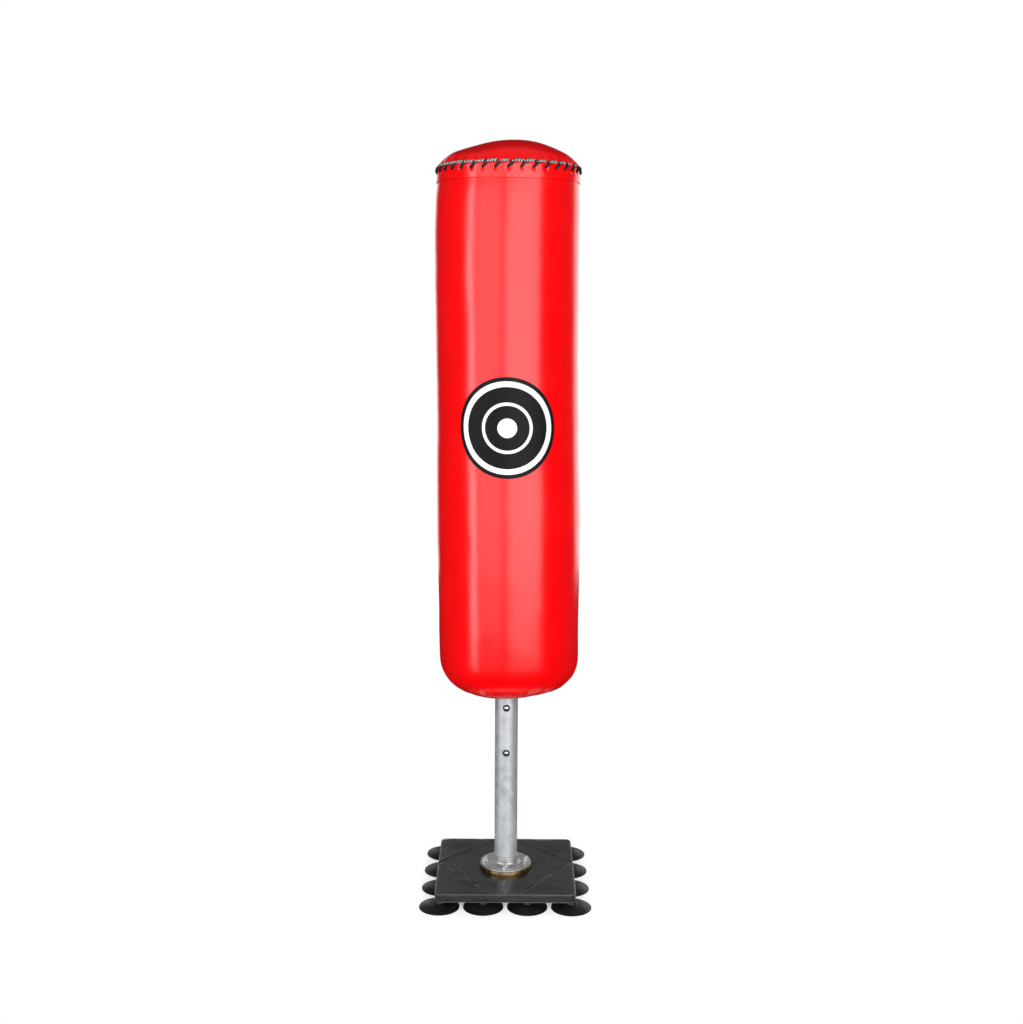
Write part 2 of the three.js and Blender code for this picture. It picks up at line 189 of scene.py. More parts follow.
def arc(r, z, radius, start, end, steps):
    """(radius, z) points along an arc. Angles are in degrees, anticlockwise from the outward direction."""
    out = []
    for i in range(steps + 1):
        a = math.radians(start + (end - start) * i / steps)
        out.append((r + radius * math.cos(a), z + radius * math.sin(a)))
    return out


def sweep(name, path, radius, material, sides=12, closed=False, facing=None):
    """A tube along a path, with a UV map whose u is the length in metres and v the share of a turn.
    With facing, a direction for each point, v starts on that side of the tube."""
    pts = np.array(path, float)
    n = len(pts)
    if closed:
        tangent = np.roll(pts, -1, 0) - np.roll(pts, 1, 0)
    else:
        tangent = np.gradient(pts, axis=0)
    tangent /= np.linalg.norm(tangent, axis=1)[:, None]
    normal = np.cross(tangent[0], (0.3, 0.1, 1.0))
    normals = [normal / np.linalg.norm(normal)]
    for i in range(1, n):
        v = normals[-1] - tangent[i] * np.dot(normals[-1], tangent[i])
        normals.append(v / np.linalg.norm(v))
    normals = np.array(normals)
    if facing is not None:
        normals = facing - tangent * np.sum(facing * tangent, axis=1)[:, None]
        normals /= np.linalg.norm(normals, axis=1)[:, None]
        twist = 0.0
    elif closed:
        # the twist left over when the frame comes round again is spread along the whole path
        back = normals[-1] - tangent[0] * np.dot(normals[-1], tangent[0])
        side0 = np.cross(tangent[0], normals[0])
        twist = math.atan2(np.dot(back, side0), np.dot(back, normals[0]))
    else:
        twist = 0.0
    binormals = np.cross(tangent, normals)
    vertices = []
    for i in range(n):
        for k in range(sides):
            a = TAU * k / sides - twist * i / n
            r = radius(i, k) if callable(radius) else radius
            vertices.append(pts[i] + r * (math.cos(a) * normals[i] + math.sin(a) * binormals[i]))
    rows = [[i * sides + k for k in range(sides)] for i in range(n)]
    if closed:
        rows.append(rows[0])
    faces = rows_to_faces(rows, closed=True)
    if not closed:
        faces.append(tuple(rows[0]))
        faces.append(tuple(reversed(rows[-1])))
    obj = piece(name, vertices, faces, material)
    step = np.linalg.norm(np.roll(pts, -1, 0) - pts, axis=1)
    along = np.concatenate([[0], np.cumsum(step)])
    uv = obj.data.uv_layers.new(name="along")
    values = np.zeros(len(obj.data.loops) * 2, np.float32)
    loop = 0
    for f in range((n if closed else n - 1) * sides):
        i, k = divmod(f, sides)
        for u, v in ((along[i], k), (along[i + 1], k), (along[i + 1], k + 1), (along[i], k + 1)):
            values[loop : loop + 2] = (u, v / sides)
            loop += 2
    uv.data.foreach_set("uv", values)
    return obj


def co_of(obj):
    co = np.zeros(len(obj.data.vertices) * 3)
    obj.data.vertices.foreach_get("co", co)
    return co.reshape(-1, 3)


def set_co(obj, co):
    obj.data.vertices.foreach_set("co", np.asarray(co, float).ravel())
    obj.data.update()


def apply_modifiers(obj):
    graph = bpy.context.evaluated_depsgraph_get()
    mesh = bpy.data.meshes.new_from_object(obj.evaluated_get(graph))
    obj.modifiers.clear()
    old = obj.data
    obj.data = mesh
    bpy.data.meshes.remove(old)
    obj.data.name = obj.name


def subdivide(obj):
    finer = obj.modifiers.new("finer", "SUBSURF")
    finer.levels = finer.render_levels = 1
    apply_modifiers(obj)


def smoothstep(x, low, high):
    t = np.clip((np.asarray(x, float) - low) / (high - low), 0, 1)
    return t * t * (3 - 2 * t)


def bump_at(x, centre, width):
    """A smooth bump that is 1 at the centre."""
    return np.exp(-(((np.asarray(x, float) - centre) / width) ** 2))


def turn_of(co):
    """Angle from the front, in radians, and distance from the axis, of each point."""
    return np.arctan2(co[:, 0], -co[:, 1]), np.hypot(co[:, 0], co[:, 1])


def angle_gap(angle, where):
    return np.angle(np.exp(1j * (angle - where)))


def lumps(points, size, seed):
    """Smooth noise from about -1 to 1 at each point, with features of about size metres."""
    shift = Vector((seed * 7.31, seed * 3.17, seed * 5.53))
    return np.array([noise.noise(Vector(p) / size + shift) for p in points]) * 2


# ---------------------------------------------------------------- materials
class Finish:
    """A procedural material while its nodes are put together."""

    def __init__(self, name, **shader):
        self.material = bpy.data.materials.new(name)
        self.material.use_nodes = True
        self.tree = self.material.node_tree
        self.tree.nodes.clear()
        self.output = self.add("ShaderNodeOutputMaterial")
        self.shader = self.add("ShaderNodeBsdfPrincipled", **shader)
        self.link(self.shader.outputs["BSDF"], self.output.inputs["Surface"])
        self.object = self.add("ShaderNodeTexCoord").outputs["Object"]
        self.normal = None

    def add(self, kind, **values):
        """A node. Names of its inputs are written with _ for a space, and other names are its settings."""
        node = self.tree.nodes.new(kind)
        for key, value in values.items():
            title = key.replace("_", " ")
            if hasattr(node, key):
                setattr(node, key, value)
            else:
                node.inputs[title].default_value = value
        return node

    def link(self, a, b):
        self.tree.links.new(a, b)

    def scaled(self, x, y, z):
        node = self.add("ShaderNodeMapping", Scale=(x, y, z))
        self.link(self.object, node.inputs["Vector"])
        return node.outputs["Vector"]

    def noise(self, scale, detail=3.0, rough=0.55, source=None):
        node = self.add("ShaderNodeTexNoise", Scale=scale, Detail=detail, Roughness=rough)
        self.link(source or self.object, node.inputs["Vector"])
        return node.outputs["Fac"]

    def cells(self, scale, feature="F1", source=None):
        node = self.add("ShaderNodeTexVoronoi", feature=feature, Scale=scale)
        self.link(source or self.object, node.inputs["Vector"])
        return node.outputs["Distance"]

    def waves(self, scale, direction, distortion):
        node = self.add("ShaderNodeTexWave", bands_direction=direction, Scale=scale, Distortion=distortion)
        self.link(self.object, node.inputs["Vector"])
        return node.outputs["Fac"]

    def spread(self, value, low, high, to_low, to_high):
        node = self.add("ShaderNodeMapRange", interpolation_type="SMOOTHSTEP",
                        From_Min=low, From_Max=high, To_Min=to_low, To_Max=to_high)
        self.link(value, node.inputs["Value"])
        return node.outputs["Result"]

    def maths(self, operation, a, b):
        node = self.add("ShaderNodeMath", operation=operation)
        for socket, value in zip(node.inputs, (a, b)):
            if isinstance(value, (int, float)):
                socket.default_value = value
            else:
                self.link(value, socket)
        return node.outputs["Value"]

    def distance(self, point):
        node = self.add("ShaderNodeVectorMath", operation="DISTANCE")
        self.link(self.object, node.inputs[0])
        node.inputs[1].default_value = point
        return node.outputs["Value"]

    def colours(self, value, *stops):
        """A colour ramp over value from (place, sRGB colour) stops."""
        node = self.add("ShaderNodeValToRGB")
        ramp = node.color_ramp
        while len(ramp.elements) < len(stops):
            ramp.elements.new(1.0)
        for element, (place, colour) in zip(ramp.elements, stops):
            element.position = place
            element.color = (*linear(colour), 1)
        self.link(value, node.inputs["Fac"])
        return node.outputs["Color"]

    def colour(self, value):
        self.link(value, self.shader.inputs["Base Color"])

    def roughness(self, value):
        self.link(value, self.shader.inputs["Roughness"])

    def bump(self, height, distance, strength=1.0):
        """Adds a bump of that height in metres on top of any earlier one."""
        node = self.add("ShaderNodeBump", Distance=distance, Strength=strength)
        self.link(height, node.inputs["Height"])
        if self.normal is not None:
            self.link(self.normal, node.inputs["Normal"])
        self.normal = node.outputs["Normal"]
        self.link(self.normal, self.shader.inputs["Normal"])


def linear(colour):
    """Linear values of an sRGB colour given from 0 to 255."""
    shares = (v / 255 for v in colour)
    return tuple(c / 12.92 if c <= 0.04045 else ((c + 0.055) / 1.055) ** 2.4 for c in shares)


def leather(name, dark, light, rough, specular, grain_scale, grain_depth):
    """Synthetic leather: pebbled cells with fine pores, and a slow change of tone and gloss."""
    f = Finish(name, Specular_IOR_Level=specular)
    warp = f.noise(grain_scale * 0.6, detail=2)
    bent = f.add("ShaderNodeVectorMath", operation="MULTIPLY_ADD")
    f.link(warp, bent.inputs[0])
    bent.inputs[1].default_value = (0.6 / grain_scale,) * 3
    f.link(f.object, bent.inputs[2])
    pebbles = f.cells(grain_scale, "SMOOTH_F1", bent.outputs["Vector"])
    pores = f.noise(grain_scale * 5, detail=2)
    slow = f.noise(9, detail=4)
    f.colour(f.colours(f.maths("ADD", f.maths("MULTIPLY", slow, 0.75), f.maths("MULTIPLY", pebbles, 0.3)),
                       (0.3, dark), (0.75, light)))
    gloss = f.maths("ADD", f.maths("MULTIPLY", pebbles, 0.10), f.maths("MULTIPLY", f.noise(14, detail=5), 0.12))
    f.roughness(f.spread(gloss, 0.0, 0.2, rough - 0.05, rough + 0.06))
    f.bump(slow, 0.0012, 0.25)
    f.bump(pebbles, grain_depth, 0.55)
    f.bump(pores, grain_depth * 0.3, 0.35)
    return f.material


def metal(name, dark, light, rough, spots=0.0, brush=None, depth=0.00006, metallic=1.0, painted_shade_ring=False):
    """Metal with a slow mottle. brush is the axis that drawn or turned lines run round.
    If asked, a dark ring is painted round each snap button: painted shade for the gap and the pressed rim round
    its hole."""
    f = Finish(name, Metallic=metallic)
    patches = f.noise(55, detail=6, rough=0.62)
    fine = f.noise(420, detail=4)
    tone = f.colours(f.maths("ADD", f.maths("MULTIPLY", patches, 0.7), f.maths("MULTIPLY", fine, 0.3)),
                     (0.32, dark), (0.68, light))
    # painted shade: the colour is darkened in a ring round each button hole, where the gap and pressed rim fall in
    # shade
    if painted_shade_ring:
        away = [f.distance((0, -POLE_R, z)) for _, z in button_points()]
        near = f.maths("MINIMUM", *away)
        ring = f.maths("MULTIPLY", f.spread(near, 0.0036, 0.0052, 0, 1), f.spread(near, 0.0076, 0.0086, 1, 0))
        painted_shade_mix = f.add("ShaderNodeMix", data_type="RGBA", blend_type="MULTIPLY")
        f.link(ring, painted_shade_mix.inputs["Factor"])
        f.link(tone, painted_shade_mix.inputs["A"])
        painted_shade_mix.inputs["B"].default_value = (0.10, 0.10, 0.11, 1)
        tone = painted_shade_mix.outputs["Result"]
    f.colour(tone)
    f.roughness(f.spread(patches, 0.3, 0.7, rough - 0.06 - spots, rough + 0.07 + spots))
    if brush == "Z":
        f.bump(f.noise(1, detail=3, source=f.scaled(6, 6, 2400)), depth, 0.5)
    elif brush == "along":
        f.bump(f.noise(1, detail=3, source=f.scaled(900, 900, 9)), depth, 0.4)
    f.bump(fine, depth, 0.5)
    return f.material


RED = leather("red_leather", (232, 1, 6), (248, 2, 10), 0.215, 0.5, 720, 0.00010)
# darker red for the thread and the mouth sleeve; on the hem band's folded edge it is a painted shade line
DARK_RED_AND_SHADE_LINE = leather("dark_red_leather_and_painted_shade_line", (124, 1, 7), (160, 2, 9), 0.45, 0.4, 720, 0.0002)
BLACK = leather("black_leather", (26, 26, 28), (40, 40, 42), 0.27, 0.3, 560, 0.00016)
# grey lighter than the black leather: a painted highlight along the pad's piping and crease welts
PIPING_PAINTED_HIGHLIGHT = leather("piping_painted_highlight", (66, 66, 68), (96, 96, 98), 0.3, 0.5, 900, 0.0001)
# the tube and the buttons both carry the painted shade ring round each button
POLE = metal("galvanised_tube", (184, 188, 194), (208, 211, 215), 0.42, 0.02, "along", metallic=0.58, painted_shade_ring=True)
FLANGE = metal("cast_flange", (158, 157, 156), (192, 191, 190), 0.42, 0.05, None, 0.00010, metallic=0.7)
GOLD = metal("yellow_zinc", (112, 90, 54), (168, 140, 92), 0.27, 0.03, "Z", 0.0001, metallic=0.9)
ZINC = metal("zinc_fastener", (206, 208, 210), (232, 233, 236), 0.28, 0.03, metallic=0.85)
CHROME = metal("button_steel", (214, 216, 220), (236, 237, 240), 0.2, 0.0, painted_shade_ring=True)
DRAWN = metal("drawn_tube", (150, 153, 158), (184, 187, 191), 0.25, 0.03, "along")
SPRING = metal("spring_steel", (62, 63, 66), (92, 93, 97), 0.32, 0.04)
PAINT = metal("black_paint", (22, 22, 24), (34, 34, 36), 0.45, 0.02, None, 0.00008, metallic=0.0)


def rubber():
    """Moulded rubber with faint flow rings and a dusty bloom."""
    f = Finish("cup_rubber", Specular_IOR_Level=0.28)
    bloom = f.noise(60, detail=5)
    f.colour(f.colours(bloom, (0.3, (11, 11, 12)), (0.75, (27, 27, 28))))
    f.roughness(f.spread(bloom, 0.25, 0.75, 0.36, 0.52))
    f.bump(f.noise(900, detail=3), 0.00006, 0.5)
    return f.material


def foam():
    """Open foam: round cells of two sizes."""
    f = Finish("foam", Specular_IOR_Level=0.2)
    big = f.cells(420)
    f.colour(f.colours(big, (0.1, (58, 60, 64)), (0.7, (112, 115, 120))))
    f.roughness(f.spread(big, 0, 1, 0.85, 0.98))
    f.bump(big, 0.0008, 0.8)
    f.bump(f.cells(1300), 0.0003, 0.6)
    return f.material


def shreds():
    """Packed textile shreds."""
    f = Finish("textile_shreds", Specular_IOR_Level=0.15)
    bits = f.add("ShaderNodeTexVoronoi", Scale=90.0)
    f.link(f.scaled(1, 1, 2.4), bits.inputs["Vector"])
    f.colour(f.colours(bits.outputs["Distance"], (0.05, (70, 66, 62)), (0.4, (128, 121, 112)),
                       (0.8, (96, 104, 118))))
    f.roughness(f.spread(bits.outputs["Distance"], 0, 1, 0.85, 0.97))
    f.bump(bits.outputs["Distance"], 0.003, 0.8)
    f.bump(f.waves(260, "DIAGONAL", 6), 0.0004, 0.5)
    return f.material


def lace():
    """Braided cord: black, with slanting white threads on its outer side where it runs along the seam."""
    f = Finish("lace_cord", Specular_IOR_Level=0.3)
    uv = f.add("ShaderNodeUVMap", uv_map="along").outputs["UV"]
    split = f.add("ShaderNodeSeparateXYZ")
    f.link(uv, split.inputs["Vector"])
    along, around = split.outputs["X"], split.outputs["Y"]

    def strands(period, turns):
        phase = f.maths("ADD", f.maths("MULTIPLY", along, 1 / period), f.maths("MULTIPLY", around, float(turns)))
        return f.maths("PINGPONG", phase, 0.5)

    braid = f.maths("MAXIMUM", strands(0.0026, 2), strands(0.0026, -2))
    white = f.spread(strands(0.0052, 3), 0.27, 0.38, 0, 1)
    outside = f.spread(f.maths("PINGPONG", around, 0.5), 0.08, 0.14, 1, 0)
    place = f.add("ShaderNodeSeparateXYZ")
    f.link(f.object, place.inputs["Vector"])
    on_run = f.spread(place.outputs["Z"], BAG_EDGE + 0.0005, BAG_EDGE + 0.0035, 0.12, 1)
    ragged = f.spread(f.noise(700, detail=2), 0.36, 0.56, 0.35, 1)
    flecks = f.maths("MULTIPLY", f.maths("MULTIPLY", white, outside), f.maths("MULTIPLY", on_run, ragged))
    f.colour(f.colours(flecks, (0.05, (13, 12, 13)), (0.8, (240, 236, 240))))
    f.roughness(f.spread(braid, 0, 0.5, 0.92, 0.7))
    f.bump(braid, 0.0006, 0.8)
    f.bump(f.noise(2600, detail=2), 0.0001, 0.6)
    return f.material


def print_ink(name, colour, rough):
    """A flexible printed film: slightly uneven and finely cracked."""
    f = Finish(name, Specular_IOR_Level=0.12)
    wear = f.noise(130, detail=6, rough=0.65)
    shade = tuple(max(0, c - 14) for c in colour)
    f.colour(f.colours(wear, (0.25, shade), (0.6, colour)))
    f.roughness(f.spread(wear, 0.3, 0.7, rough - 0.05, rough + 0.08))
    f.bump(f.cells(720, "SMOOTH_F1"), 0.00012, 0.5)
    return f.material


RUBBER, FOAM, SHREDS, LACE = rubber(), foam(), shreds(), lace()
INK_BLACK = print_ink("print_black", (18, 16, 17), 0.45)
INK_WHITE = print_ink("print_white", (240, 240, 240), 0.4)


# ---------------------------------------------------------------- camera, light, floor
LENS_MM = 46.75
CAMERA_AT = (0.0086, -2.8566, 1.2775)
CAMERA_TIP, CAMERA_ROLL = 8.659, 0.34  # degrees
AMBIENT, BELOW, REAR = 0.27, 0.08, 0.7  # the world's light on matt surfaces: all round, from below, from behind
REFLECTED = 0.01  # the world's light in reflections
FLOOR_GLOW = 0.3
FLOOR_SOLID, FLOOR_GONE = 0.2, 0.36  # radii between which the floor fades away


def camera():
    """A 47 mm lens a little above the middle of the bag, tipped down at it."""
    data = bpy.data.cameras.new("camera")
    data.lens = LENS_MM
    data.clip_start = 0.05
    data.clip_end = 60
    cam = add_object("camera", data)
    cam.location = CAMERA_AT
    tip = Matrix.Rotation(math.radians(90 - CAMERA_TIP), 3, "X")
    cam.rotation_euler = (tip @ Matrix.Rotation(math.radians(CAMERA_ROLL), 3, "Z")).to_euler()
    bpy.context.scene.camera = cam


def light_panel(name, width, height, radiance):
    """An area light that the camera doesn't see, with a brightness that doesn't depend on its size."""
    data = bpy.data.lights.new(name, "AREA")
    data.shape = "RECTANGLE"
    data.size, data.size_y = width, height
    data.energy = radiance * math.pi * width * height
    lamp = add_object(name, data)
    lamp.visible_camera = False
    return lamp


def softbox(name, azimuth, half_width, low, high, radiance, distance=3.1):
    """A flat panel of light facing the bag's axis. Azimuth is in degrees from the front towards +X."""
    a = math.radians(azimuth)
    width = 2 * distance * math.tan(math.radians(half_width))
    lamp = light_panel(name, width, high - low, radiance)
    lamp.location = (distance * math.sin(a), -distance * math.cos(a), (low + high) / 2)
    lamp.rotation_euler = (math.pi / 2, 0, a)


def overhead(radiance, size=2.6, height=3.5):
    """A square panel of light straight above."""
    light_panel("overhead_panel", size, size, radiance).location = (0, 0, height)


def world():
    """White to the camera, an even light on matt surfaces, and nearly dark in reflections."""
    w = bpy.data.worlds.new("studio")
    bpy.context.scene.world = w
    w.use_nodes = True
    w.cycles.sampling_method = "NONE"
    tree = w.node_tree
    tree.nodes.clear()
    out = tree.nodes.new("ShaderNodeOutputWorld")
    path = tree.nodes.new("ShaderNodeLightPath")
    direction = tree.nodes.new("ShaderNodeTexCoord")
    split = tree.nodes.new("ShaderNodeSeparateXYZ")
    tree.links.new(direction.outputs["Generated"], split.inputs["Vector"])
    total = tree.nodes.new("ShaderNodeMath")
    total.operation = "ADD"
    for socket, axis, numbers in ((0, "Z", (-0.25, 0.15, BELOW, AMBIENT)), (1, "Y", (0.0, 1.0, 0.0, REAR))):
        ramp = tree.nodes.new("ShaderNodeMapRange")
        tree.links.new(split.outputs[axis], ramp.inputs["Value"])
        for key, number in zip(("From Min", "From Max", "To Min", "To Max"), numbers):
            ramp.inputs[key].default_value = number
        tree.links.new(ramp.outputs["Result"], total.inputs[socket])
    shader = None
    for ray, strength in ((None, AMBIENT), ("Is Glossy Ray", REFLECTED), ("Is Camera Ray", 1.0)):
        light = tree.nodes.new("ShaderNodeBackground")
        light.inputs["Color"].default_value = (1, 1, 1, 1)
        light.inputs["Strength"].default_value = strength
        if shader is None:
            tree.links.new(total.outputs["Value"], light.inputs["Strength"])
            shader = light.outputs["Background"]
            continue
        mix = tree.nodes.new("ShaderNodeMixShader")
        tree.links.new(path.outputs[ray], mix.inputs["Fac"])
        tree.links.new(shader, mix.inputs[1])
        tree.links.new(light.outputs["Background"], mix.inputs[2])
        shader = mix.outputs["Shader"]
    tree.links.new(shader, out.inputs["Surface"])


def floor():
    """A pale floor under the stand that fades away outwards into the white round it."""
    f = Finish("floor", Specular_IOR_Level=0.15, Roughness=0.65)
    f.shader.inputs["Base Color"].default_value = (0.9, 0.9, 0.9, 1)
    f.shader.inputs["Emission Color"].default_value = (1, 1, 1, 1)
    f.shader.inputs["Emission Strength"].default_value = FLOOR_GLOW
    centre = f.add("ShaderNodeVectorMath", operation="LENGTH")
    f.link(f.object, centre.inputs[0])
    clear = f.add("ShaderNodeBsdfTransparent")
    mix = f.add("ShaderNodeMixShader")
    underside = f.add("ShaderNodeNewGeometry").outputs["Backfacing"]
    fade = f.spread(centre.outputs["Value"], FLOOR_SOLID, FLOOR_GONE, 0.0, 1.0)
    f.link(f.maths("MAXIMUM", fade, underside), mix.inputs["Fac"])
    f.link(f.shader.outputs["BSDF"], mix.inputs[1])
    f.link(clear.outputs["BSDF"], mix.inputs[2])
    f.link(mix.outputs["Shader"], f.output.inputs["Surface"])
    rows = [circle(0, 0, 64)] + [circle(r, -0.0002, 64) for r in (0.3, 0.7, 1.1)]
    disc = skin("studio_floor", rows, f.material)
    disc.data.flip_normals()


camera()
world()
floor()
# name, azimuth, half its width (both in degrees), foot, top (both in metres), radiance
for panel in (("key_panel", 25, 28, -0.25, 2.5, 3.9), ("bridge_panel", -28, 19, -0.15, 2.5, 2.3),
              ("strip_panel", -57, 5, -0.35, 2.4, 7.4), ("backdrop_right", 150, 17, 0.1, 2.6, 1.6),
              ("backdrop_left", -160, 9, 0.1, 2.6, 1.2), ("backdrop_middle", 180, 10, 0.6, 2.6, 0.35)):
    softbox(*panel)
overhead(0.15)
bpy.context.scene.view_settings.view_transform = "Standard"


# ---------------------------------------------------------------- bag
def barrel_radius(z):
    """Outer radius of the cover at height z: a slight belly low down, drawn in a little at the top."""
    lean_in = (R_HIGH - R_LOW) * 0.5 * (1 - np.cos(np.pi * np.clip((z - 0.76) / 0.34, 0, 1)))
    hem_in = (R_HEM - R_HIGH) * 0.5 * (1 - np.cos(np.pi * np.clip((z - 1.484) / 0.058, 0, 1)))
    belly = 0.0028 * bump_at(z, 0.82, 0.15)
    return R_LOW + lean_in + hem_in + belly


def barrel_outline(step):
    """(radius, z) points about step apart from the mouth, round the bottom corner and up to the lacing."""
    flat = R_LOW - CORNER
    points = [(r, BAG_BOTTOM) for r in np.linspace(MOUTH_R, flat, max(2, round((flat - MOUTH_R) / step)))]
    turn = max(4, round(CORNER * math.pi / 2 / step))
    points += arc(flat, BAG_BOTTOM + CORNER, CORNER, -90, 0, turn)[1:]
    count = round((BAG_EDGE - points[-1][1]) / step)
    for z in np.linspace(points[-1][1], BAG_EDGE, count + 1)[1:]:
        points.append((float(barrel_radius(z)), float(z)))
    return points


def sway(points):
    """The filled bag doesn't hang quite straight: how far each height has settled to one side."""
    heights = np.array([0.40, 0.46, 0.60, 0.80, 1.00, 1.20, 1.42, 1.50, 1.56, 1.64])
    shifts = np.array([5.6, 5.6, 3.4, 2.2, -0.8, -3.2, -4.6, -3.7, -1.6, -1.0]) * MM
    z = np.asarray(points, float)[..., 2]
    k = np.clip(np.searchsorted(heights, z) - 1, 0, len(heights) - 2)
    t = np.clip((z - heights[k]) / (heights[k + 1] - heights[k]), 0, 1)
    return shifts[k] + (shifts[k + 1] - shifts[k]) * t * t * (3 - 2 * t)


def settle(obj, still=MOUTH_R + 0.002, loose=MOUTH_R + 0.054):
    """Moves a piece of the bag sideways with sway, from none inside the first radius to all past the second."""
    co = co_of(obj)
    co[:, 0] += sway(co) * smoothstep(np.hypot(co[:, 0], co[:, 1]), still, loose)
    set_co(obj, co)


def run_cloth(obj, pin, slack, frames, mass, pressure, growth, stiffness, cap):
    """Runs Blender's cloth on obj, applies it, and holds every point within cap metres of where it began.
    pin and slack say for each point how far it is held, and how far it takes part in the growth of the sheet."""
    before = co_of(obj)
    for name, weights in (("pin", pin), ("slack", slack)):
        group = obj.vertex_groups.new(name=name)
        for i, w in enumerate(weights):
            if w > 0:
                group.add([i], float(w), "REPLACE")
    cloth = obj.modifiers.new("cloth", "CLOTH")
    s = cloth.settings
    s.quality = 6
    s.mass = mass
    s.tension_stiffness = s.compression_stiffness = stiffness
    s.shear_stiffness = stiffness * 0.6
    s.bending_stiffness = 1.2
    s.use_pressure = True
    s.uniform_pressure_force = pressure
    s.vertex_group_mass = "pin"
    s.vertex_group_shrink = "slack"
    s.shrink_min = 0.0
    s.shrink_max = -growth
    s.effector_weights.gravity = 0.0
    s.air_damping = 1
    cloth.collision_settings.use_collision = False
    cloth.point_cache.frame_start = 1
    cloth.point_cache.frame_end = frames
    scene = bpy.context.scene
    for i in range(1, frames + 1):
        scene.frame_set(i)
    graph = bpy.context.evaluated_depsgraph_get()
    result = obj.evaluated_get(graph).to_mesh()
    after = np.zeros(len(result.vertices) * 3)
    result.vertices.foreach_get("co", after)
    after = after.reshape(-1, 3)
    obj.evaluated_get(graph).to_mesh_clear()
    obj.modifiers.remove(cloth)
    scene.frame_set(1)
    move = after - before
    length = np.linalg.norm(move, axis=1)[:, None]
    scale = np.where(length > 1e-9, cap * np.tanh(length / cap) / np.maximum(length, 1e-9), 1)
    set_co(obj, before + move * scale)


def bag_cover():
    """The cover's skin: blown up as cloth over its fill, from the edge of its mouth round the bottom and up to the
    lacing.
    """
    outline = barrel_outline(0.0075)
    sides = 132
    rows = [circle(r, z, sides) for r, z in outline]
    obj = skin("bag_cover_skin", rows, RED)
    co = co_of(obj)
    z = co[:, 2]
    underside = (turn_of(co)[1] < R_LOW - CORNER + 0.002) * (z < BAG_BOTTOM + 0.002)
    pin = np.clip(smoothstep(z, HEM_LINE - 0.012, HEM_LINE + 0.004) + underside, 0, 1)
    slack = np.clip(bump_at(z, BAG_BOTTOM + 0.035, 0.05) + 0.25, 0, 1)
    run_cloth(obj, pin, slack, frames=15, mass=0.0004, pressure=130.0, growth=0.05, stiffness=15, cap=0.006)
    subdivide(obj)
    co = co_of(obj)
    angle, _ = turn_of(co)
    radial = np.stack([np.sin(angle), -np.cos(angle), np.zeros(len(co))], 1)
    z = co[:, 2]
    side = smoothstep(z, BAG_BOTTOM + 0.03, BAG_BOTTOM + 0.12) * (1 - smoothstep(z, HEM_LINE - 0.06, HEM_LINE))
    fill = lumps(co * (1, 1, 0.45), 0.16, 1) * 0.0009 + lumps(co * (1, 1, 0.7), 0.055, 2) * 0.00025
    out = fill * side
    # the sheet is gathered where it goes round the bottom corner
    low = bump_at(z, BAG_BOTTOM + 0.022, 0.022)
    pleat = np.zeros(len(co))
    rng = np.random.default_rng(5)
    for _ in range(46):
        where, width, depth = rng.uniform(-math.pi, math.pi), rng.uniform(0.012, 0.05), rng.uniform(-1, 1)
        gap = angle_gap(angle, where + 2.2 * (z - BAG_BOTTOM) * rng.uniform(-1, 1))
        pleat += depth * bump_at(gap, 0, width)
    out += pleat * low * 0.0016
    # a few long folds that rise from the underside at the right and the left of the front
    rise = z - BAG_BOTTOM
    for start, slope, length, depth in (
            (0.62, 5.5, 0.060, 0.0030), (0.95, 6.5, 0.075, 0.0026), (-0.95, -6.0, 0.06, 0.0022),
            (0.15, 3.0, 0.035, 0.0016), (2.4, 6.0, 0.06, 0.0026), (-2.2, -5.0, 0.07, 0.0026)):
        line = np.abs(angle_gap(angle, start + slope * rise)) * 0.12
        share = smoothstep(rise, -0.01, 0.012) * (1 - smoothstep(rise, length * 0.5, length))
        out += depth * share * (0.7 * bump_at(line, 0.006, 0.005) - bump_at(line, 0, 0.004))
    # the long lapped seam at the back
    lap = np.abs(angle_gap(angle, SEAM_ANGLE)) * R_HIGH
    out += 0.0009 * (1 - smoothstep(lap, 0.0115, 0.0135)) * smoothstep(z, BAG_BOTTOM + 0.02, BAG_BOTTOM + 0.06)
    co += radial * out[:, None]
    # the bottom hangs lower at the front left and is drawn up at the front right
    co[:, 2] -= 0.0028 * bump_at(angle, -0.35, 0.8) * (1 - smoothstep(z, BAG_BOTTOM, BAG_BOTTOM + 0.12))
    co[:, 2] += 0.0022 * bump_at(angle, 0.6, 0.5) * (1 - smoothstep(z, BAG_BOTTOM, BAG_BOTTOM + 0.1))
    set_co(obj, co)
    settle(obj)
    place(obj, "bag", "bag_leather", "bag_cover", fill=0.95)
    return obj


bag = bag_cover()
bag_tree = BVHTree.FromObject(bag, bpy.context.evaluated_depsgraph_get())


def on_bag(angle, z, off=0.0):
    """The point on the cover at that angle from the front and height, moved outwards by off."""
    way = Vector((math.sin(angle), -math.cos(angle), 0))
    axis = Vector((float(sway((0, 0, z))), 0, z))
    hit = bag_tree.ray_cast(axis + way * 0.4, -way)[0]
    r = (hit - axis).dot(way) if hit else float(barrel_radius(z))
    return axis + way * (r + off)


def stitch_pull(angle, z):
    """How far, from 0 to 1, the leather is drawn in by the lace holes near this point."""
    phase = angle / TAU * STITCHES
    near = abs(phase - round(phase)) * TAU * R_HEM / STITCHES
    return math.exp(-((near / 0.0045) ** 2) - (((z - BAG_EDGE + HOLE_DROP) / 0.006) ** 2))


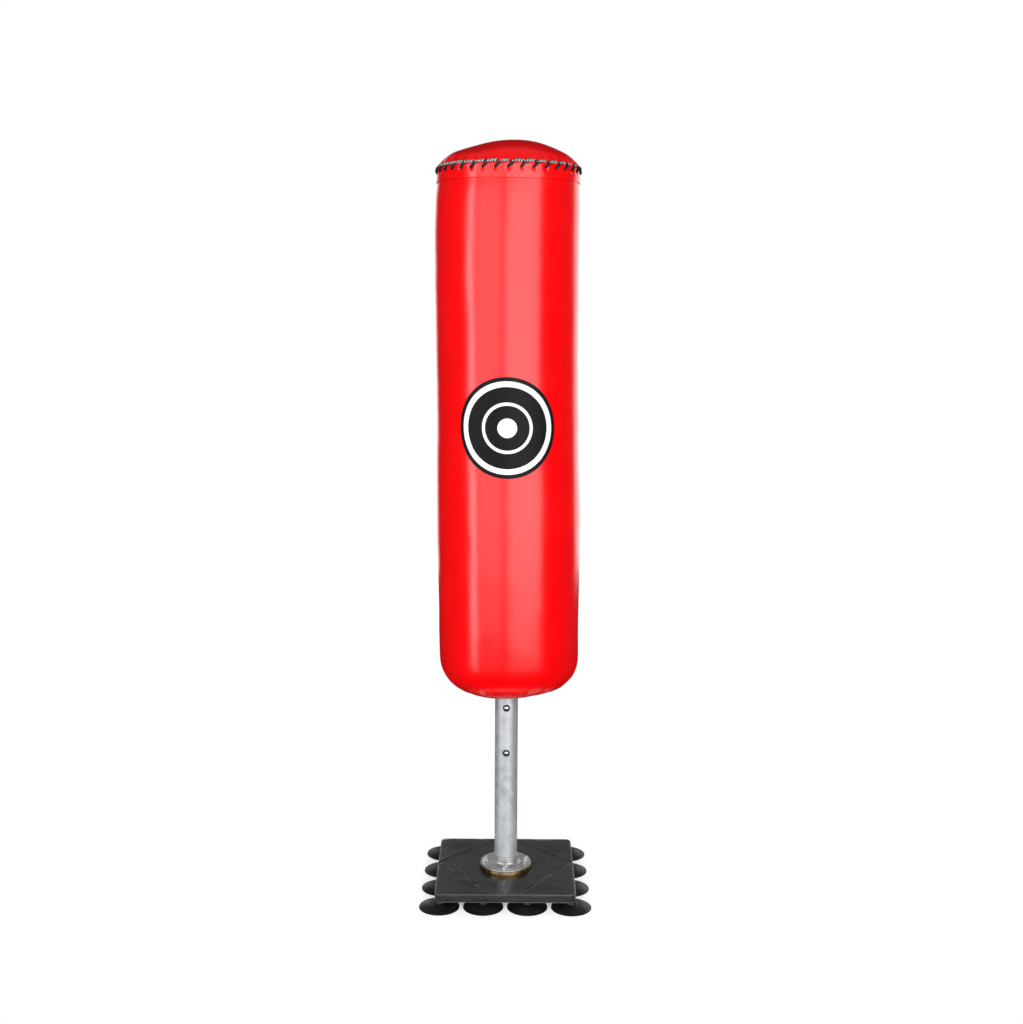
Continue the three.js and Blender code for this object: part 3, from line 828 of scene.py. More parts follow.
def hem_band():
    """The second layer of leather round the top, with a folded lower edge painted darker red: a thin painted shade
    line.
    """
    sides = 720
    thick = 0.0017
    lower = ((-0.0006, 0.0), (-0.0007, 0.0006), (-0.0004, thick), (0.0004, thick + 0.0003))
    upper = ((-0.0012, thick), (-0.0004, thick - 0.0002), (-0.0001, 0.0004), (-0.0004, -0.0008))
    places = [(HEM_LINE + dz, off) for dz, off in lower]
    places += [(float(z), thick) for z in np.linspace(HEM_LINE + 0.002, BAG_EDGE - 0.0024, 14)]
    places += [(BAG_EDGE + dz, off) for dz, off in upper]
    aside = Vector((float(sway((0, 0, HEM_LINE))), 0, 0))
    base = [(on_bag(TAU * i / sides, HEM_LINE - 0.004) - aside).xy.length for i in range(sides)]
    rows = []
    for z, off in places:
        row = []
        for i in range(sides):
            a = TAU * i / sides
            rise = (z - HEM_LINE) / (BAG_EDGE - HEM_LINE)
            r = base[i] * (1 - rise) + (R_HEM + 0.0002) * rise + off
            wave = 0.5 * noise.noise(Vector((a * 4, z * 30, 3))) + 0.35 * noise.noise(Vector((a * 13, z * 60, 9)))
            r += 0.0010 * wave * rise - 0.0017 * stitch_pull(a, z)
            dz = -0.0007 * math.sin(a * 3 + 1) - 0.0005 * noise.noise(Vector((a * 3, 0, 5)))
            row.append((r * math.sin(a), -r * math.cos(a), z + dz * (1 - rise)))
        rows.append(row)
    obj = skin("hem_band", rows, [RED, DARK_RED_AND_SHADE_LINE])
    # the faces at the fold get the darker red: a painted shade line under the fold
    edge = np.zeros(len(obj.data.polygons), np.int32)
    edge[: sides * 2] = 1
    obj.data.polygons.foreach_set("material_index", edge)
    settle(obj)
    place(obj, "bag", "bag_leather")


def thread(name, points, radius):
    """One short stitch of red thread after another, each a flat-ended bow between two points."""
    vertices, faces = [], []
    for a, b, up in points:
        along = b - a
        side = along.cross(up).normalized()
        first = len(vertices)
        count, around = 5, 6
        for i in range(count):
            t = i / (count - 1)
            lift = math.sin(math.pi * t) * radius * 0.9 - radius * 0.35
            centre = a + along * t + up * lift
            for k in range(around):
                turn = TAU * k / around
                vertices.append(centre + radius * (math.cos(turn) * side + math.sin(turn) * up))
        rows = [[first + i * around + k for k in range(around)] for i in range(count)]
        faces += rows_to_faces(rows, closed=True)
        faces += [tuple(rows[0]), tuple(reversed(rows[-1]))]
    place(piece(name, vertices, faces, DARK_RED_AND_SHADE_LINE), "bag", "bag_leather")


def seam_threads():
    """Tone-on-tone stitching: round the hem, and two rows up the lapped seam at the back."""
    hem, back = [], []
    count = 240
    z = HEM_LINE + 0.0045
    for i in range(count):
        a, b = TAU * (i + 0.12) / count, TAU * (i + 0.88) / count
        mid = (a + b) / 2
        up = Vector((math.sin(mid), -math.cos(mid), 0))
        hem.append((on_bag(a, z, 0.0013), on_bag(b, z, 0.0013), up))
    for side in (-1, 1):
        angle = SEAM_ANGLE + side * 0.0085 / R_HIGH
        up = Vector((math.sin(angle), -math.cos(angle), 0))
        z = BAG_BOTTOM + 0.055
        while z < HEM_LINE - 0.006:
            back.append((on_bag(angle, z, 0.0001), on_bag(angle, z + 0.0034, 0.0001), up))
            z += 0.0045
    thread("hem_stitches", hem, 0.00028)
    thread("back_seam_stitches", back, 0.0003)


def front_print():
    """A plain round target printed on the front of the cover, ring by ring."""
    centre_z, sides = 1.038, 144
    # outer radius of each band, and its ink: 0 black, 1 white
    bands = ((0.020, 1), (0.046, 0), (0.0525, 1), (0.084, 0), (0.0955, 1), (0.104, 0))
    vertices, faces, which = [on_bag(0, centre_z, 0.0003)], [], []
    rows, inks = [[0]], []
    low = 0.0
    for high, ink in bands:
        steps = max(2, round((high - low) / 0.0035))
        for i in range(1, steps + 1):
            d = low + (high - low) * i / steps
            off = 0.0001 if d > bands[-1][0] - 0.0001 else 0.0003
            row = []
            for k in range(sides):
                t = TAU * k / sides
                row.append(len(vertices))
                vertices.append(on_bag(d * math.cos(t) / R_HIGH, centre_z + d * math.sin(t), off))
            rows.append(row)
            inks.append(ink)
        low = high
    for i, ink in enumerate(inks):
        new = rows_to_faces(rows[i : i + 2], closed=True)
        faces += new
        which += [ink] * len(new)
    obj = piece("front_print", vertices, faces, [INK_BLACK, INK_WHITE])
    obj.data.polygons.foreach_set("material_index", which)
    place(obj, "bag", "bag_leather")


def mouth():
    """The turned-in edge of the cover: a stitched ring and the sleeve up to the spring seat."""
    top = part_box("upper_spring_seat")[0].z + 0.024
    outline = [(MOUTH_R + 0.010, BAG_BOTTOM + 0.0012), (MOUTH_R + 0.009, BAG_BOTTOM - 0.0004)]
    outline += arc(MOUTH_R + 0.0022, BAG_BOTTOM + 0.0016, 0.0026, -90, -180, 6)
    for t in np.linspace(0.06, 1, 24):
        outline.append((MOUTH_R - 0.0004 + (THROAT_R - MOUTH_R) * t, BAG_BOTTOM + (top - BAG_BOTTOM) * t))
    rows = []
    for r, z in outline:
        t = max(0, (z - BAG_BOTTOM - 0.006) / (top - BAG_BOTTOM))
        fold = 0.0011 * min(1, t * 8) * (1 - 0.4 * t)
        rows.append(circle(lambda a, r=r, z=z, fold=fold: r + fold * (
            math.sin(a * 17 + 14 * z) + 0.5 * math.sin(a * 29 - 23 * z)), z, 240))
    rows.reverse()
    obj = skin("mouth_sleeve", rows, DARK_RED_AND_SHADE_LINE)
    obj.data.flip_normals()
    solid = obj.modifiers.new("thick", "SOLIDIFY")
    solid.thickness = 0.0014
    solid.offset = -1
    apply_modifiers(obj)
    place(obj, "bag", "bag_leather")


def dome_height(share):
    """Height of the cap above its edge at a share of its radius: a superellipse."""
    return max(0.0, 1 - share ** DOME_POWER) ** (1 / DOME_POWER)


def top_cap():
    """The dome, drawn down by the lace all round, so that small folds run in from its edge."""
    sides = 216
    rise = cap_hi.z - cap_lo.z
    shares = [math.sin(t) ** 0.9 for t in np.linspace(math.pi / 2, 0, 44)]
    rows = [circle(R_HEM * s, cap_lo.z + rise * dome_height(s), sides) for s in shares]
    obj = skin("top_cap_skin", rows, RED)
    _, r = turn_of(co_of(obj))
    pin = smoothstep(r, R_HEM - 0.004, R_HEM - 0.0005)
    slack = smoothstep(r, 0.05, R_HEM - 0.01)
    run_cloth(obj, pin, slack, frames=15, mass=0.0004, pressure=60.0, growth=0.035, stiffness=25, cap=0.004)
    subdivide(obj)
    co = co_of(obj)
    angle, r = turn_of(co)
    pull = np.cos(angle * STITCHES)
    rng = np.random.default_rng(11)
    fold = np.zeros(len(co))
    for _ in range(30):
        where, width, depth = rng.uniform(-math.pi, math.pi), rng.uniform(0.02, 0.05), rng.uniform(-1, 0.6)
        fold += depth * bump_at(angle_gap(angle, where), 0, width)
    inward = np.stack([np.sin(angle), -np.cos(angle), np.full(len(co), 0.6)], 1)
    out = -0.0011 * pull * bump_at(r, R_HEM, 0.010)
    out += 0.0012 * fold * bump_at(r, R_HEM, 0.016) * (r < R_HEM + 0.01)
    out += lumps(co, 0.07, 4) * 0.0007 * smoothstep(R_HEM - r, 0.0, 0.03)
    co += inward * out[:, None]
    # packed a little less full on the left
    co[:, 2] -= 0.0042 * bump_at(co[:, 0], -0.068, 0.045) * smoothstep(R_HEM - r, 0.0, 0.05)
    set_co(obj, co)
    settle(obj)
    place(obj, "bag", "bag_leather", "top_cap", fill=0.95)


def lacing():
    """One cord wound round the seam: out of a hole in the hem, up, along, and back in behind the cap's edge."""
    pitch = TAU / STITCHES
    # (share of a pitch, radius past the hem, height over the seam, radius of the cord) of one turn
    turn = ((0.00, 0.0008, -HOLE_DROP, 0.0027), (0.05, 0.0026, -HOLE_DROP + 0.0024, 0.0028),
            (0.16, 0.0024, -0.0034, 0.0031), (0.33, 0.0002, 0.0016, 0.0040), (0.58, -0.0030, 0.0037, 0.0045),
            (0.88, -0.0042, 0.0042, 0.0045), (1.14, -0.0054, 0.0038, 0.0041), (1.30, -0.0082, 0.0022, 0.0032),
            (1.24, -0.0096, -0.0050, 0.0028), (1.08, -0.0066, -HOLE_DROP, 0.0027))
    keys, widths = [], []
    rng = np.random.default_rng(21)
    for i in range(STITCHES):
        jitter = rng.uniform(-1, 1, 3)
        for share, out, up, width in turn:
            a = pitch * (i + share + 0.04 * jitter[0] * (0.1 < share < 1))
            r = R_HEM + out + 0.0003 * jitter[1]
            keys.append((r * math.sin(a), -r * math.cos(a), BAG_EDGE + up + 0.0006 * jitter[2] * (up > 0)))
            widths.append(width)
    steps = 7
    path = np.array(spline(keys, steps))
    wide = np.interp(np.arange(len(path)) / steps, np.arange(len(widths) + 1), widths + widths[:1])
    out = path * (1, 1, 0) / np.hypot(path[:, 0], path[:, 1])[:, None] + (0, 0, 0.1)
    sides = 18

    def radius(i, k):
        return wide[i] * (1 + 0.05 * math.cos(TAU * 3 * k / sides + i * 0.9))

    obj = sweep("lace", path, radius, LACE, sides=sides, closed=True, facing=out)
    settle(obj)
    place(obj, "bag", "lace", "lacing_cord")


def spline(keys, steps):
    """A closed Catmull-Rom curve through the keys, with steps points for each."""
    p = np.array(keys, float)
    a, b, c, d = np.roll(p, 1, 0), p, np.roll(p, -1, 0), np.roll(p, -2, 0)
    out = []
    for i in range(len(p)):
        for t in np.arange(steps) / steps:
            out.append(0.5 * (2 * b[i] + (c[i] - a[i]) * t + (2 * a[i] - 5 * b[i] + 4 * c[i] - d[i]) * t ** 2
                              + (3 * b[i] - a[i] - 3 * c[i] + d[i]) * t ** 3))
    return out


def finer_outline(outline, step):
    """The closed outline with extra points, so that no two are more than step apart."""
    out = []
    for (r1, z1), (r2, z2) in zip(outline, outline[1:] + outline[:1]):
        count = max(1, math.ceil(math.hypot(r2 - r1, z2 - z1) / step))
        out += [(r1 + (r2 - r1) * i / count, z1 + (z2 - z1) * i / count) for i in range(count)]
    return out


def foam_core():
    """The moulded foam: a column, and a foot that fills the round bottom of the bag. Its edges are soft."""
    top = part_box("foam_core")[1].z
    seat_lo, seat_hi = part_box("upper_spring_seat")
    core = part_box("core_tube")[1].x + 0.0006
    under, shelf, ledge = seat_lo.z - 0.0006, seat_lo.z + 0.0065, seat_hi.x + 0.0005
    flat, wide = R_LOW - CORNER, R_LOW - INSIDE
    outside = [(MOUTH_R + INSIDE, BAG_BOTTOM + INSIDE), (flat, BAG_BOTTOM + INSIDE)]
    outside += arc(flat, BAG_BOTTOM + CORNER, CORNER - INSIDE, -90, 0, 14)[1:]
    outside += [(wide, FOOT_TOP - 0.004), (wide - 0.004, FOOT_TOP), (COLUMN_R + 0.004, FOOT_TOP),
                (COLUMN_R, FOOT_TOP + 0.004), (COLUMN_R, top - 0.005), (COLUMN_R - 0.005, top), (core, top)]
    inside = [(core, seat_hi.z + 0.001), (SOCKET_R, seat_hi.z + 0.001), (SOCKET_R, shelf), (ledge, shelf),
              (ledge, under), (THROAT_R + INSIDE, under)]
    rows = [circle(r, z, 120) for r, z in finer_outline(outside + inside, 0.014)]
    obj = skin("foam_core_moulded", rows, FOAM, ring=True, sharp=50)
    co = co_of(obj)
    _, r = turn_of(co)
    mould_line = 0.0009 * bump_at(co[:, 0], 0, 0.002)
    dent = (0.0012 * lumps(co, 0.05, 12) - 0.0014 + mould_line) * smoothstep(r, ledge, ledge + 0.015)
    co[:, :2] *= (1 + dent / np.maximum(r, 0.01))[:, None]
    set_co(obj, co)
    settle(obj)
    place(obj, "bag", "core_foam", "foam_core", fill=1.0)


def textile_fill():
    """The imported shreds: they press into every part of the cover, and their outside is lumpy."""
    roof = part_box("textile_fill")[1].z
    inner = COLUMN_R + 0.0008
    outline = [(inner, FOOT_TOP + 0.001), (R_LOW - INSIDE - 0.003, FOOT_TOP + 0.001)]
    for z in np.arange(FOOT_TOP + 0.006, BAG_EDGE, 0.012):
        outline.append((float(barrel_radius(z)) - INSIDE - FILL_GAP, float(z)))
    rise = roof - BAG_EDGE - 0.002
    power = 2 / DOME_POWER
    for t in np.linspace(0.02, math.pi / 2, 24)[:-1]:
        r = (R_HEM - INSIDE - FILL_GAP) * math.cos(t) ** power
        outline.append((r, BAG_EDGE + rise * math.sin(t) ** power))
    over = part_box("foam_core")[1].z + 0.001
    outer_rows = [circle(r, z, 168) for r, z in outline] + [[(0, 0, BAG_EDGE + rise)]]
    inner_rows = [circle(inner, z, 168) for z in np.linspace(over, FOOT_TOP + 0.001, 12)]
    under = [[(0, 0, over)]] + inner_rows[:-1]
    vertices, index = [], []
    for row in outer_rows + under:
        index.append(list(range(len(vertices), len(vertices) + len(row))))
        vertices.extend(row)
    split = len(outer_rows)
    faces = rows_to_faces(index[:split], True) + rows_to_faces(index[split:] + index[:1], True)
    obj = piece("textile_fill_packed", vertices, [tuple(reversed(f)) for f in faces], SHREDS)
    co = co_of(obj)
    _, r = turn_of(co)
    outside = smoothstep(r, inner + 0.01, inner + 0.03) + (co[:, 2] > over + 0.02) * (r < inner + 0.01)
    outside = np.clip(outside, 0, 1)
    push = 0.0009 * lumps(co, 0.028, 14) + 0.0006 * lumps(co * (1, 1, 2), 0.011, 15) - 0.0015
    normals = np.zeros(len(co) * 3)
    obj.data.vertices.foreach_get("normal", normals)
    co += normals.reshape(-1, 3) * (push * outside)[:, None]
    set_co(obj, co)
    settle(obj, inner + 0.002, R_LOW - 0.02)
    place(obj, "bag", "textile_fill", "textile_fill", fill=0.95)


foam_core()
textile_fill()
hem_band()
seam_threads()
front_print()
mouth()
top_cap()
lacing()


# ---------------------------------------------------------------- base pad
def square_reach(a, half, corner):
    """Distance from the centre to a rounded square's edge at angle a from the front."""
    dx, dy = abs(math.sin(a)), abs(math.cos(a))
    big, small = max(dx, dy), min(dx, dy)
    reach = half / big
    inner = half - corner
    if reach * small > inner:
        # the ray meets the corner's arc, whose centre is at (inner, inner)
        b = inner * (dx + dy)
        reach = b + math.sqrt(max(0, b * b - 2 * inner * inner + corner * corner))
    return reach


def pad_row(t, z, sides, inset=0.0):
    """A closed row of the pad at share t of the way from the ring's hole to the edge."""
    row = []
    for i in range(sides):
        a = TAU * i / sides
        far = square_reach(a, PAD_HALF - inset, PAD_CORNER)
        r = RING_HOLE + (far - RING_HOLE) * t
        row.append((r * math.sin(a), -r * math.cos(a), z))
    return row


def pad_cover():
    """The leather over the base: cloth blown up between its piped edge, the ring and four creases, then folded."""
    sides = 192
    low, high = PAD_FOOT, PAD_EDGE_Z
    rows = [pad_row(0.93, low + 0.0002, sides), pad_row(1, low + 0.0002, sides, 0.0022),
            pad_row(1, low + 0.0016, sides, 0.0003)]
    for z in np.linspace(low + 0.004, high - 0.003, 5):
        rows.append(pad_row(1, float(z), sides))
    rows += [pad_row(1, high - 0.0012, sides, 0.0003), pad_row(1, high, sides, 0.0016)]
    for t in np.linspace(1, 0, 34)[1:]:
        rows.append(pad_row(float(t), high, sides, 0.0016))
    rows.append([(x, y, high - 0.006) for x, y, _ in pad_row(0, high, sides)])
    obj = skin("base_pad_cover", rows, BLACK)
    co = co_of(obj)
    hole = turn_of(co)[1] < RING_HOLE + 0.0015
    reach = np.maximum(np.abs(co[:, 0]), np.abs(co[:, 1]))
    rim = smoothstep(reach, PAD_HALF - 0.004, PAD_HALF - 0.001) * (co[:, 2] > high - 0.002)
    foot = co[:, 2] < low + 0.003
    pin = np.clip(hole + rim + foot + 0.85 * bump_at(crease_distance(co), 0, 0.003), 0, 1)
    slack = np.where(co[:, 2] > high - 0.002, 1.0, 0.35)
    run_cloth(obj, pin, slack, frames=22, mass=0.25, pressure=2.5, growth=0.045, stiffness=20, cap=0.0035)
    subdivide(obj)
    co = co_of(obj)
    d = crease_distance(co)
    top = smoothstep(co[:, 2], high - 0.004, high - 0.0005)
    sink = -0.0013 * bump_at(d, 0, 0.0024) + 0.0006 * bump_at(d, 0.006, 0.004)
    sink += 0.0006 * lumps(co * (1, 1, 0), 0.05, 6)
    # soft folds near the corners: place, direction and length of each
    folds = ((-0.10, 0.11, 0.5, 0.04), (0.11, 0.10, -0.6, 0.045), (-0.10, -0.09, -0.5, 0.05),
             (0.105, -0.10, 0.6, 0.05), (-0.12, -0.03, -0.9, 0.04), (0.125, -0.02, 1.0, 0.04))
    for seed, (x, y, turn, length) in enumerate(folds):
        along = (co[:, 0] - x) * math.cos(turn) + (co[:, 1] - y) * math.sin(turn)
        across = -(co[:, 0] - x) * math.sin(turn) + (co[:, 1] - y) * math.cos(turn)
        across += 0.004 * np.sin(along * 60 + seed)
        crease = bump_at(across, 0, 0.004) - 0.8 * bump_at(across, 0.009, 0.005)
        sink += 0.0010 * bump_at(along, 0, length) * crease
    co[:, 2] += sink * top
    out = 0.0007 * lumps(co * (1, 1, 2), 0.022, 8) * (1 - top) * (co[:, 2] > low + 0.002)
    flat = co[:, :2] / np.maximum(np.linalg.norm(co[:, :2], axis=1), 1e-6)[:, None]
    co[:, :2] += flat * out[:, None]
    set_co(obj, co)
    place(obj, "stand", "base_leather", "base_cover", fill=0.6)
    return obj


def crease_lines():
    """The four creases that join the middles of the pad's edges, as pairs of (x, y) ends."""
    edge = PAD_HALF - 0.001
    right, left = (edge, 0.014), (-edge, 0.014)
    return (right, (0.016, edge)), ((-0.016, edge), left), (left, (-0.026, -edge)), ((0.026, -edge), right)


def crease_distance(co):
    """Distance of each point from the nearest crease."""
    best = np.full(len(co), 9.0)
    for (x1, y1), (x2, y2) in crease_lines():
        vx, vy = x2 - x1, y2 - y1
        t = np.clip(((co[:, 0] - x1) * vx + (co[:, 1] - y1) * vy) / (vx * vx + vy * vy), 0, 1)
        best = np.minimum(best, np.hypot(co[:, 0] - x1 - t * vx, co[:, 1] - y1 - t * vy))
    return best


def piping(name, z, inset, radius):
    """A thin welt round the pad's edge, lighter grey as a painted highlight line."""
    place(sweep(name, pad_row(1, z, 360, inset), radius, PIPING_PAINTED_HIGHLIGHT, sides=10, closed=True), "stand", "base_leather")


def pad_welts(pad):
    """The raised seams along the four creases, lighter grey as painted highlight lines."""
    tree = BVHTree.FromObject(pad, bpy.context.evaluated_depsgraph_get())
    for i, ((x1, y1), (x2, y2)) in enumerate(crease_lines()):
        path = []
        for t in np.linspace(0.012, 0.988, 120):
            x, y = x1 + (x2 - x1) * t, y1 + (y2 - y1) * t
            hit = tree.ray_cast(Vector((x, y, PAD_TOP + 0.05)), Vector((0, 0, -1)))[0]
            if hit:
                path.append((x, y, hit.z + 0.0001))
        place(sweep(f"pad_welt_{i + 1}", path, 0.0007, PIPING_PAINTED_HIGHLIGHT, sides=8), "stand", "base_leather")


def base_foam():
    """The foam sheet under the leather: the CAD solid with softened edges and faces that aren't quite flat."""
    source = frame["nodes"]["base_foam"]
    obj = add_object("base_foam_sheet", source.data.copy())
    obj.matrix_world = source.matrix_world.copy()
    obj.data.materials.clear()
    obj.data.materials.append(FOAM)
    voxels = obj.modifiers.new("voxels", "REMESH")
    voxels.mode = "VOXEL"
    voxels.voxel_size = 0.0024
    soften = obj.modifiers.new("soften", "SMOOTH")
    soften.factor, soften.iterations = 0.5, 4
    apply_modifiers(obj)
    obj.data.shade_smooth()
    co = co_of(obj)
    middle = (co[:, 2].min() + co[:, 2].max()) / 2
    co[:, 2] = middle + (co[:, 2] - middle) * (0.93 + 0.03 * lumps(co * (1, 1, 0), 0.03, 17))
    set_co(obj, co)
    place(obj, "stand", "base_foam", "base_foam", fill=0.9)


pad_welts(pad_cover())
base_foam()
piping("pad_piping_top", PAD_TOP - 0.0007, 0.0009, 0.0009)
piping("pad_piping_foot", PAD_FOOT + 0.0012, 0.0001, 0.0008)


# ---------------------------------------------------------------- suction cups
def suction_cups():
    """Thin moulded cups with a few low rings, a lip and a neck. Each one's rim waves a little."""
    rng = np.random.default_rng(3)
    for name in sorted(n for n in frame["nodes"] if n.startswith("suction_cup")):
        lo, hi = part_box(name)
        centre = (lo + hi) / 2
        r0, top = (hi.x - lo.x) / 2, hi.z - lo.z
        outline = [(0, 0.0062), (0.012, 0.0058), (0.028, 0.0036), (r0 - 0.004, 0.0002), (r0 - 0.0028, 0)]
        outline += [(r0 - 0.0004, 0), (r0, 0.0004), (r0 - 0.0002, 0.0011), (r0 - 0.0010, 0.0015)]
        for step in range(1, 25):
            t = step / 24
            r = r0 - 0.001 - (r0 - 0.001 - 0.0145) * t
            z = 0.0015 + 0.0080 * math.sin(t * math.pi / 2) ** 1.15
            z += 0.00022 * math.cos(t * TAU * 4) * (0.1 < t < 0.95)
            outline.append((r, z))
        outline += [(0.0122, 0.0102), (0.0112, 0.0112), (0.0110, top - 0.0006), (0.0104, top), (0.0034, top),
                    (0.0032, top - 0.0058), (0, top - 0.0058)]
        phase, _ = rng.uniform(0, TAU), rng.uniform(0, TAU)
        rows = []
        for r, z in outline:
            share = (r / r0) ** 4 * (z > 0.0008)
            row = [(x, y, lo.z + h + 0.0003 * share * (1 + math.sin(3 * math.atan2(y, x) + phase)))
                   for x, y, h in circle(r, z, 96)]
            rows.append(moved(row, centre))
        obj = skin(name + "_moulded", rows, RUBBER, sharp=50)
        place(obj, "stand", "cup_rubber", name)


suction_cups()


# ---------------------------------------------------------------- pole, ring, flange, fasteners
def bevelled(outline, size):
    """The outline with each corner cut by size and a middle point, so that edges catch the light."""
    out = []
    n = len(outline)
    for i in range(n):
        a, b, c = (Vector(outline[k % n]) for k in (i - 1, i, i + 1))
        back, ahead = a - b, c - b
        cut = min(size, back.length * 0.45, ahead.length * 0.45)
        p, q = b + back.normalized() * cut, b + ahead.normalized() * cut
        mid = (p + q) * 0.25 + b * 0.5
        out += [tuple(p), tuple(mid), tuple(q)]
    return out


def spacer_ring():
    bore, r = 0.030, ring_hi.x
    outline = [(bore, ring_lo.z), (r, ring_lo.z), (r, ring_hi.z), (bore, ring_hi.z)]
    obj = turned("spacer_ring_turned", bevelled(outline, 0.0008), GOLD)
    place(obj, "stand", "gold_zinc", "spacer_ring")


def pole_flange():
    """A cast flange: a flat disc, a swept fillet and a short hub with a weld bead at its top."""
    bore, r, hub = POLE_R + 0.0003, flange_hi.x, 0.0285
    top = flange_lo.z + 0.0044
    outline = [(bore, flange_lo.z)]
    outline += arc(r - 0.0008, flange_lo.z + 0.0008, 0.0008, -90, 0, 4)
    outline += arc(r - 0.0012, top - 0.0012, 0.0012, 0, 90, 5)
    fillet = 0.0065
    outline += [(hub + fillet + 0.0005, top)]
    outline += [(hub + fillet - fillet * math.sin(t), top + fillet - fillet * math.cos(t))
                for t in np.linspace(0.15, math.pi / 2, 9)]
    outline += arc(hub - 0.0014, flange_hi.z - 0.0014, 0.0014, 0, 80, 5)
    outline += [(bore, flange_hi.z - 0.0004)]
    obj = turned("pole_flange_cast", outline, FLANGE, sharp=50)
    place(obj, "stand", "flange_zinc", "pole_flange")
    rows = []
    for k in range(9):
        t = math.pi * k / 8
        rows.append(circle(lambda a, t=t: bore - 0.0001 + 0.0024 * math.sin(t) * (1 + 0.14 * math.sin(a * 46)),
                           flange_hi.z - 0.0008 - 0.0019 * math.cos(t), 240))
    bead = skin("hub_weld", rows, FLANGE)
    place(bead, "stand", "flange_zinc")


def hexagon(across, a):
    """Distance from the centre to the side of a hexagon at angle a, for a width across corners of 2 * across."""
    sector = (a % (TAU / 6)) - TAU / 12
    return across * math.cos(TAU / 12) / math.cos(sector)


def hex_rows(across, low, high, centre, chamfer_top):
    """Rows of a hexagonal prism whose corners are turned off at its foot, and at its top if asked."""
    rows = []
    for share in (0, 0.02, 0.08, 0.16, 0.26, 0.5, 0.74, 0.84, 0.92, 0.98, 1):
        z = low + share * (high - low)
        limit = across * 0.90 + (min(z - low, high - z) if chamfer_top else z - low) * 1.7
        rows.append(flat_row(lambda a, limit=limit: min(hexagon(across, a), limit), z, centre))
    return rows


def flat_row(r, z, centre):
    return moved(circle(r, z, 96), centre)


def fasteners():
    """Four bolts with rolled threads, each with its nut."""
    for name in sorted(n for n in frame["nodes"] if n.startswith("flange_bolt")):
        nut_name = name.replace("bolt", "nut")
        lo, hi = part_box(name)
        nut_lo, nut_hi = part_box(nut_name)
        c = (lo + hi) / 2
        head_top = lo.z + 0.0053
        across, shank, pitch = 0.0075, 0.004, 0.00125
        rows = [[(c.x, c.y, lo.z)]] + hex_rows(across, lo.z, head_top, c, chamfer_top=False)
        rows.append(flat_row(shank, head_top, c))
        start = nut_hi.z - 0.001
        rows.append(flat_row(shank, start, c))
        z = start
        while z < hi.z - 0.0006:
            fade = min(1, (hi.z - z) / 0.0012)
            rows.append(flat_row(lambda a, z=z, fade=fade: shank - 0.0004 * (1 - fade)
                                 - 0.0006 * abs(((z / pitch - a / TAU) % 1) * 2 - 1), z, c))
            z += pitch / 8
        rows += [flat_row(shank - 0.0011, hi.z, c), [(c.x, c.y, hi.z)]]
        bolt = skin(name + "_threaded", rows, ZINC, sharp=28)
        rows = [flat_row(0.0043, nut_lo.z, c)] + hex_rows(across, nut_lo.z, nut_hi.z, c, chamfer_top=True)
        rows += [flat_row(0.0047, nut_hi.z, c), flat_row(0.0043, nut_hi.z - 0.0005, c)]
        nut = skin(nut_name + "_hex", rows, ZINC, ring=True, sharp=28)
        for obj, node in ((bolt, name), (nut, nut_name)):
            place(obj, "stand", "zinc_fasteners", node)


def holed_tube(name, node, radius, hole, dish, material, slot, body):
    """A tube with a hole in its front at each button.
    dish is the width and depth of the pressed rim round a hole."""
    lo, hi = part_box(node)
    buttons = button_points()
    wall = 0.002
    heights = sorted({round(float(z), 5) for z in np.concatenate(
        [np.linspace(lo.z, hi.z, 26)] + [np.arange(z - 0.013, z + 0.013, 0.0006) for _, z in buttons])})
    sides = 288
    chamfer = 0.0005
    outer = []
    a = TAU * np.arange(sides) / sides
    turn = np.where(a < math.pi, a, a - TAU)
    for z in heights:
        z = min(max(z, lo.z + chamfer), hi.z - chamfer)
        r = np.full(sides, radius)
        for _, zb in buttons:
            r -= dish[1] * (1 - smoothstep(np.hypot(turn * radius, z - zb), hole, hole + dish[0]))
        outer.append(list(zip(r * np.sin(a), -r * np.cos(a), np.full(sides, z))))
    rows = [circle(radius - chamfer, lo.z, sides)] + outer + [circle(radius - chamfer, hi.z, sides)]
    rows += [circle(radius - wall, z, sides) for z in (hi.z, (lo.z + hi.z) / 2, lo.z)]
    obj = skin(name, rows, material, ring=True, sharp=40)
    cutter = add_object("cutter", bpy.data.meshes.new("cutter"))
    bm = bmesh.new()
    for _, z in buttons:
        bmesh.ops.create_cone(bm, cap_ends=True, segments=64, radius1=hole, radius2=hole, depth=radius * 2,
                              matrix=Matrix.Translation((0, -radius, z)) @ Matrix.Rotation(math.pi / 2, 4, "X"))
    bm.to_mesh(cutter.data)
    bm.free()
    cut = obj.modifiers.new("holes", "BOOLEAN")
    cut.operation = "DIFFERENCE"
    cut.solver = "EXACT"
    cut.object = cutter
    apply_modifiers(obj)
    obj.data.set_sharp_from_angle(angle=math.radians(40))
    bpy.data.objects.remove(cutter)
    place(obj, body, slot, node)


def snap_buttons():
    """Domed buttons, turned about the front-to-back axis, with a flange inside the tube."""
    for which, z in button_points():
        node = "snap_button_" + which
        lo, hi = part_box(node)
        tip, back = -lo.y, -hi.y
        outline = [(0, back), (0.0084, back), (0.0084, back + 0.0012), (BUTTON_R, back + 0.0012)]
        outline += [(BUTTON_R * math.cos(t), tip - 0.0026 * (1 - math.sin(t)))
                    for t in np.concatenate([[0], np.linspace(0.12, math.pi / 2, 12)])]
        rows = []
        for radius, y in outline:
            around = [TAU * i / 64 for i in range(64 if radius > 1e-5 else 1)]
            rows.append([(radius * math.cos(t), -y, z + radius * math.sin(t)) for t in around])
        obj = skin(node + "_domed", rows, CHROME, sharp=40)
        place(obj, "button_" + which, "button_chrome", node)


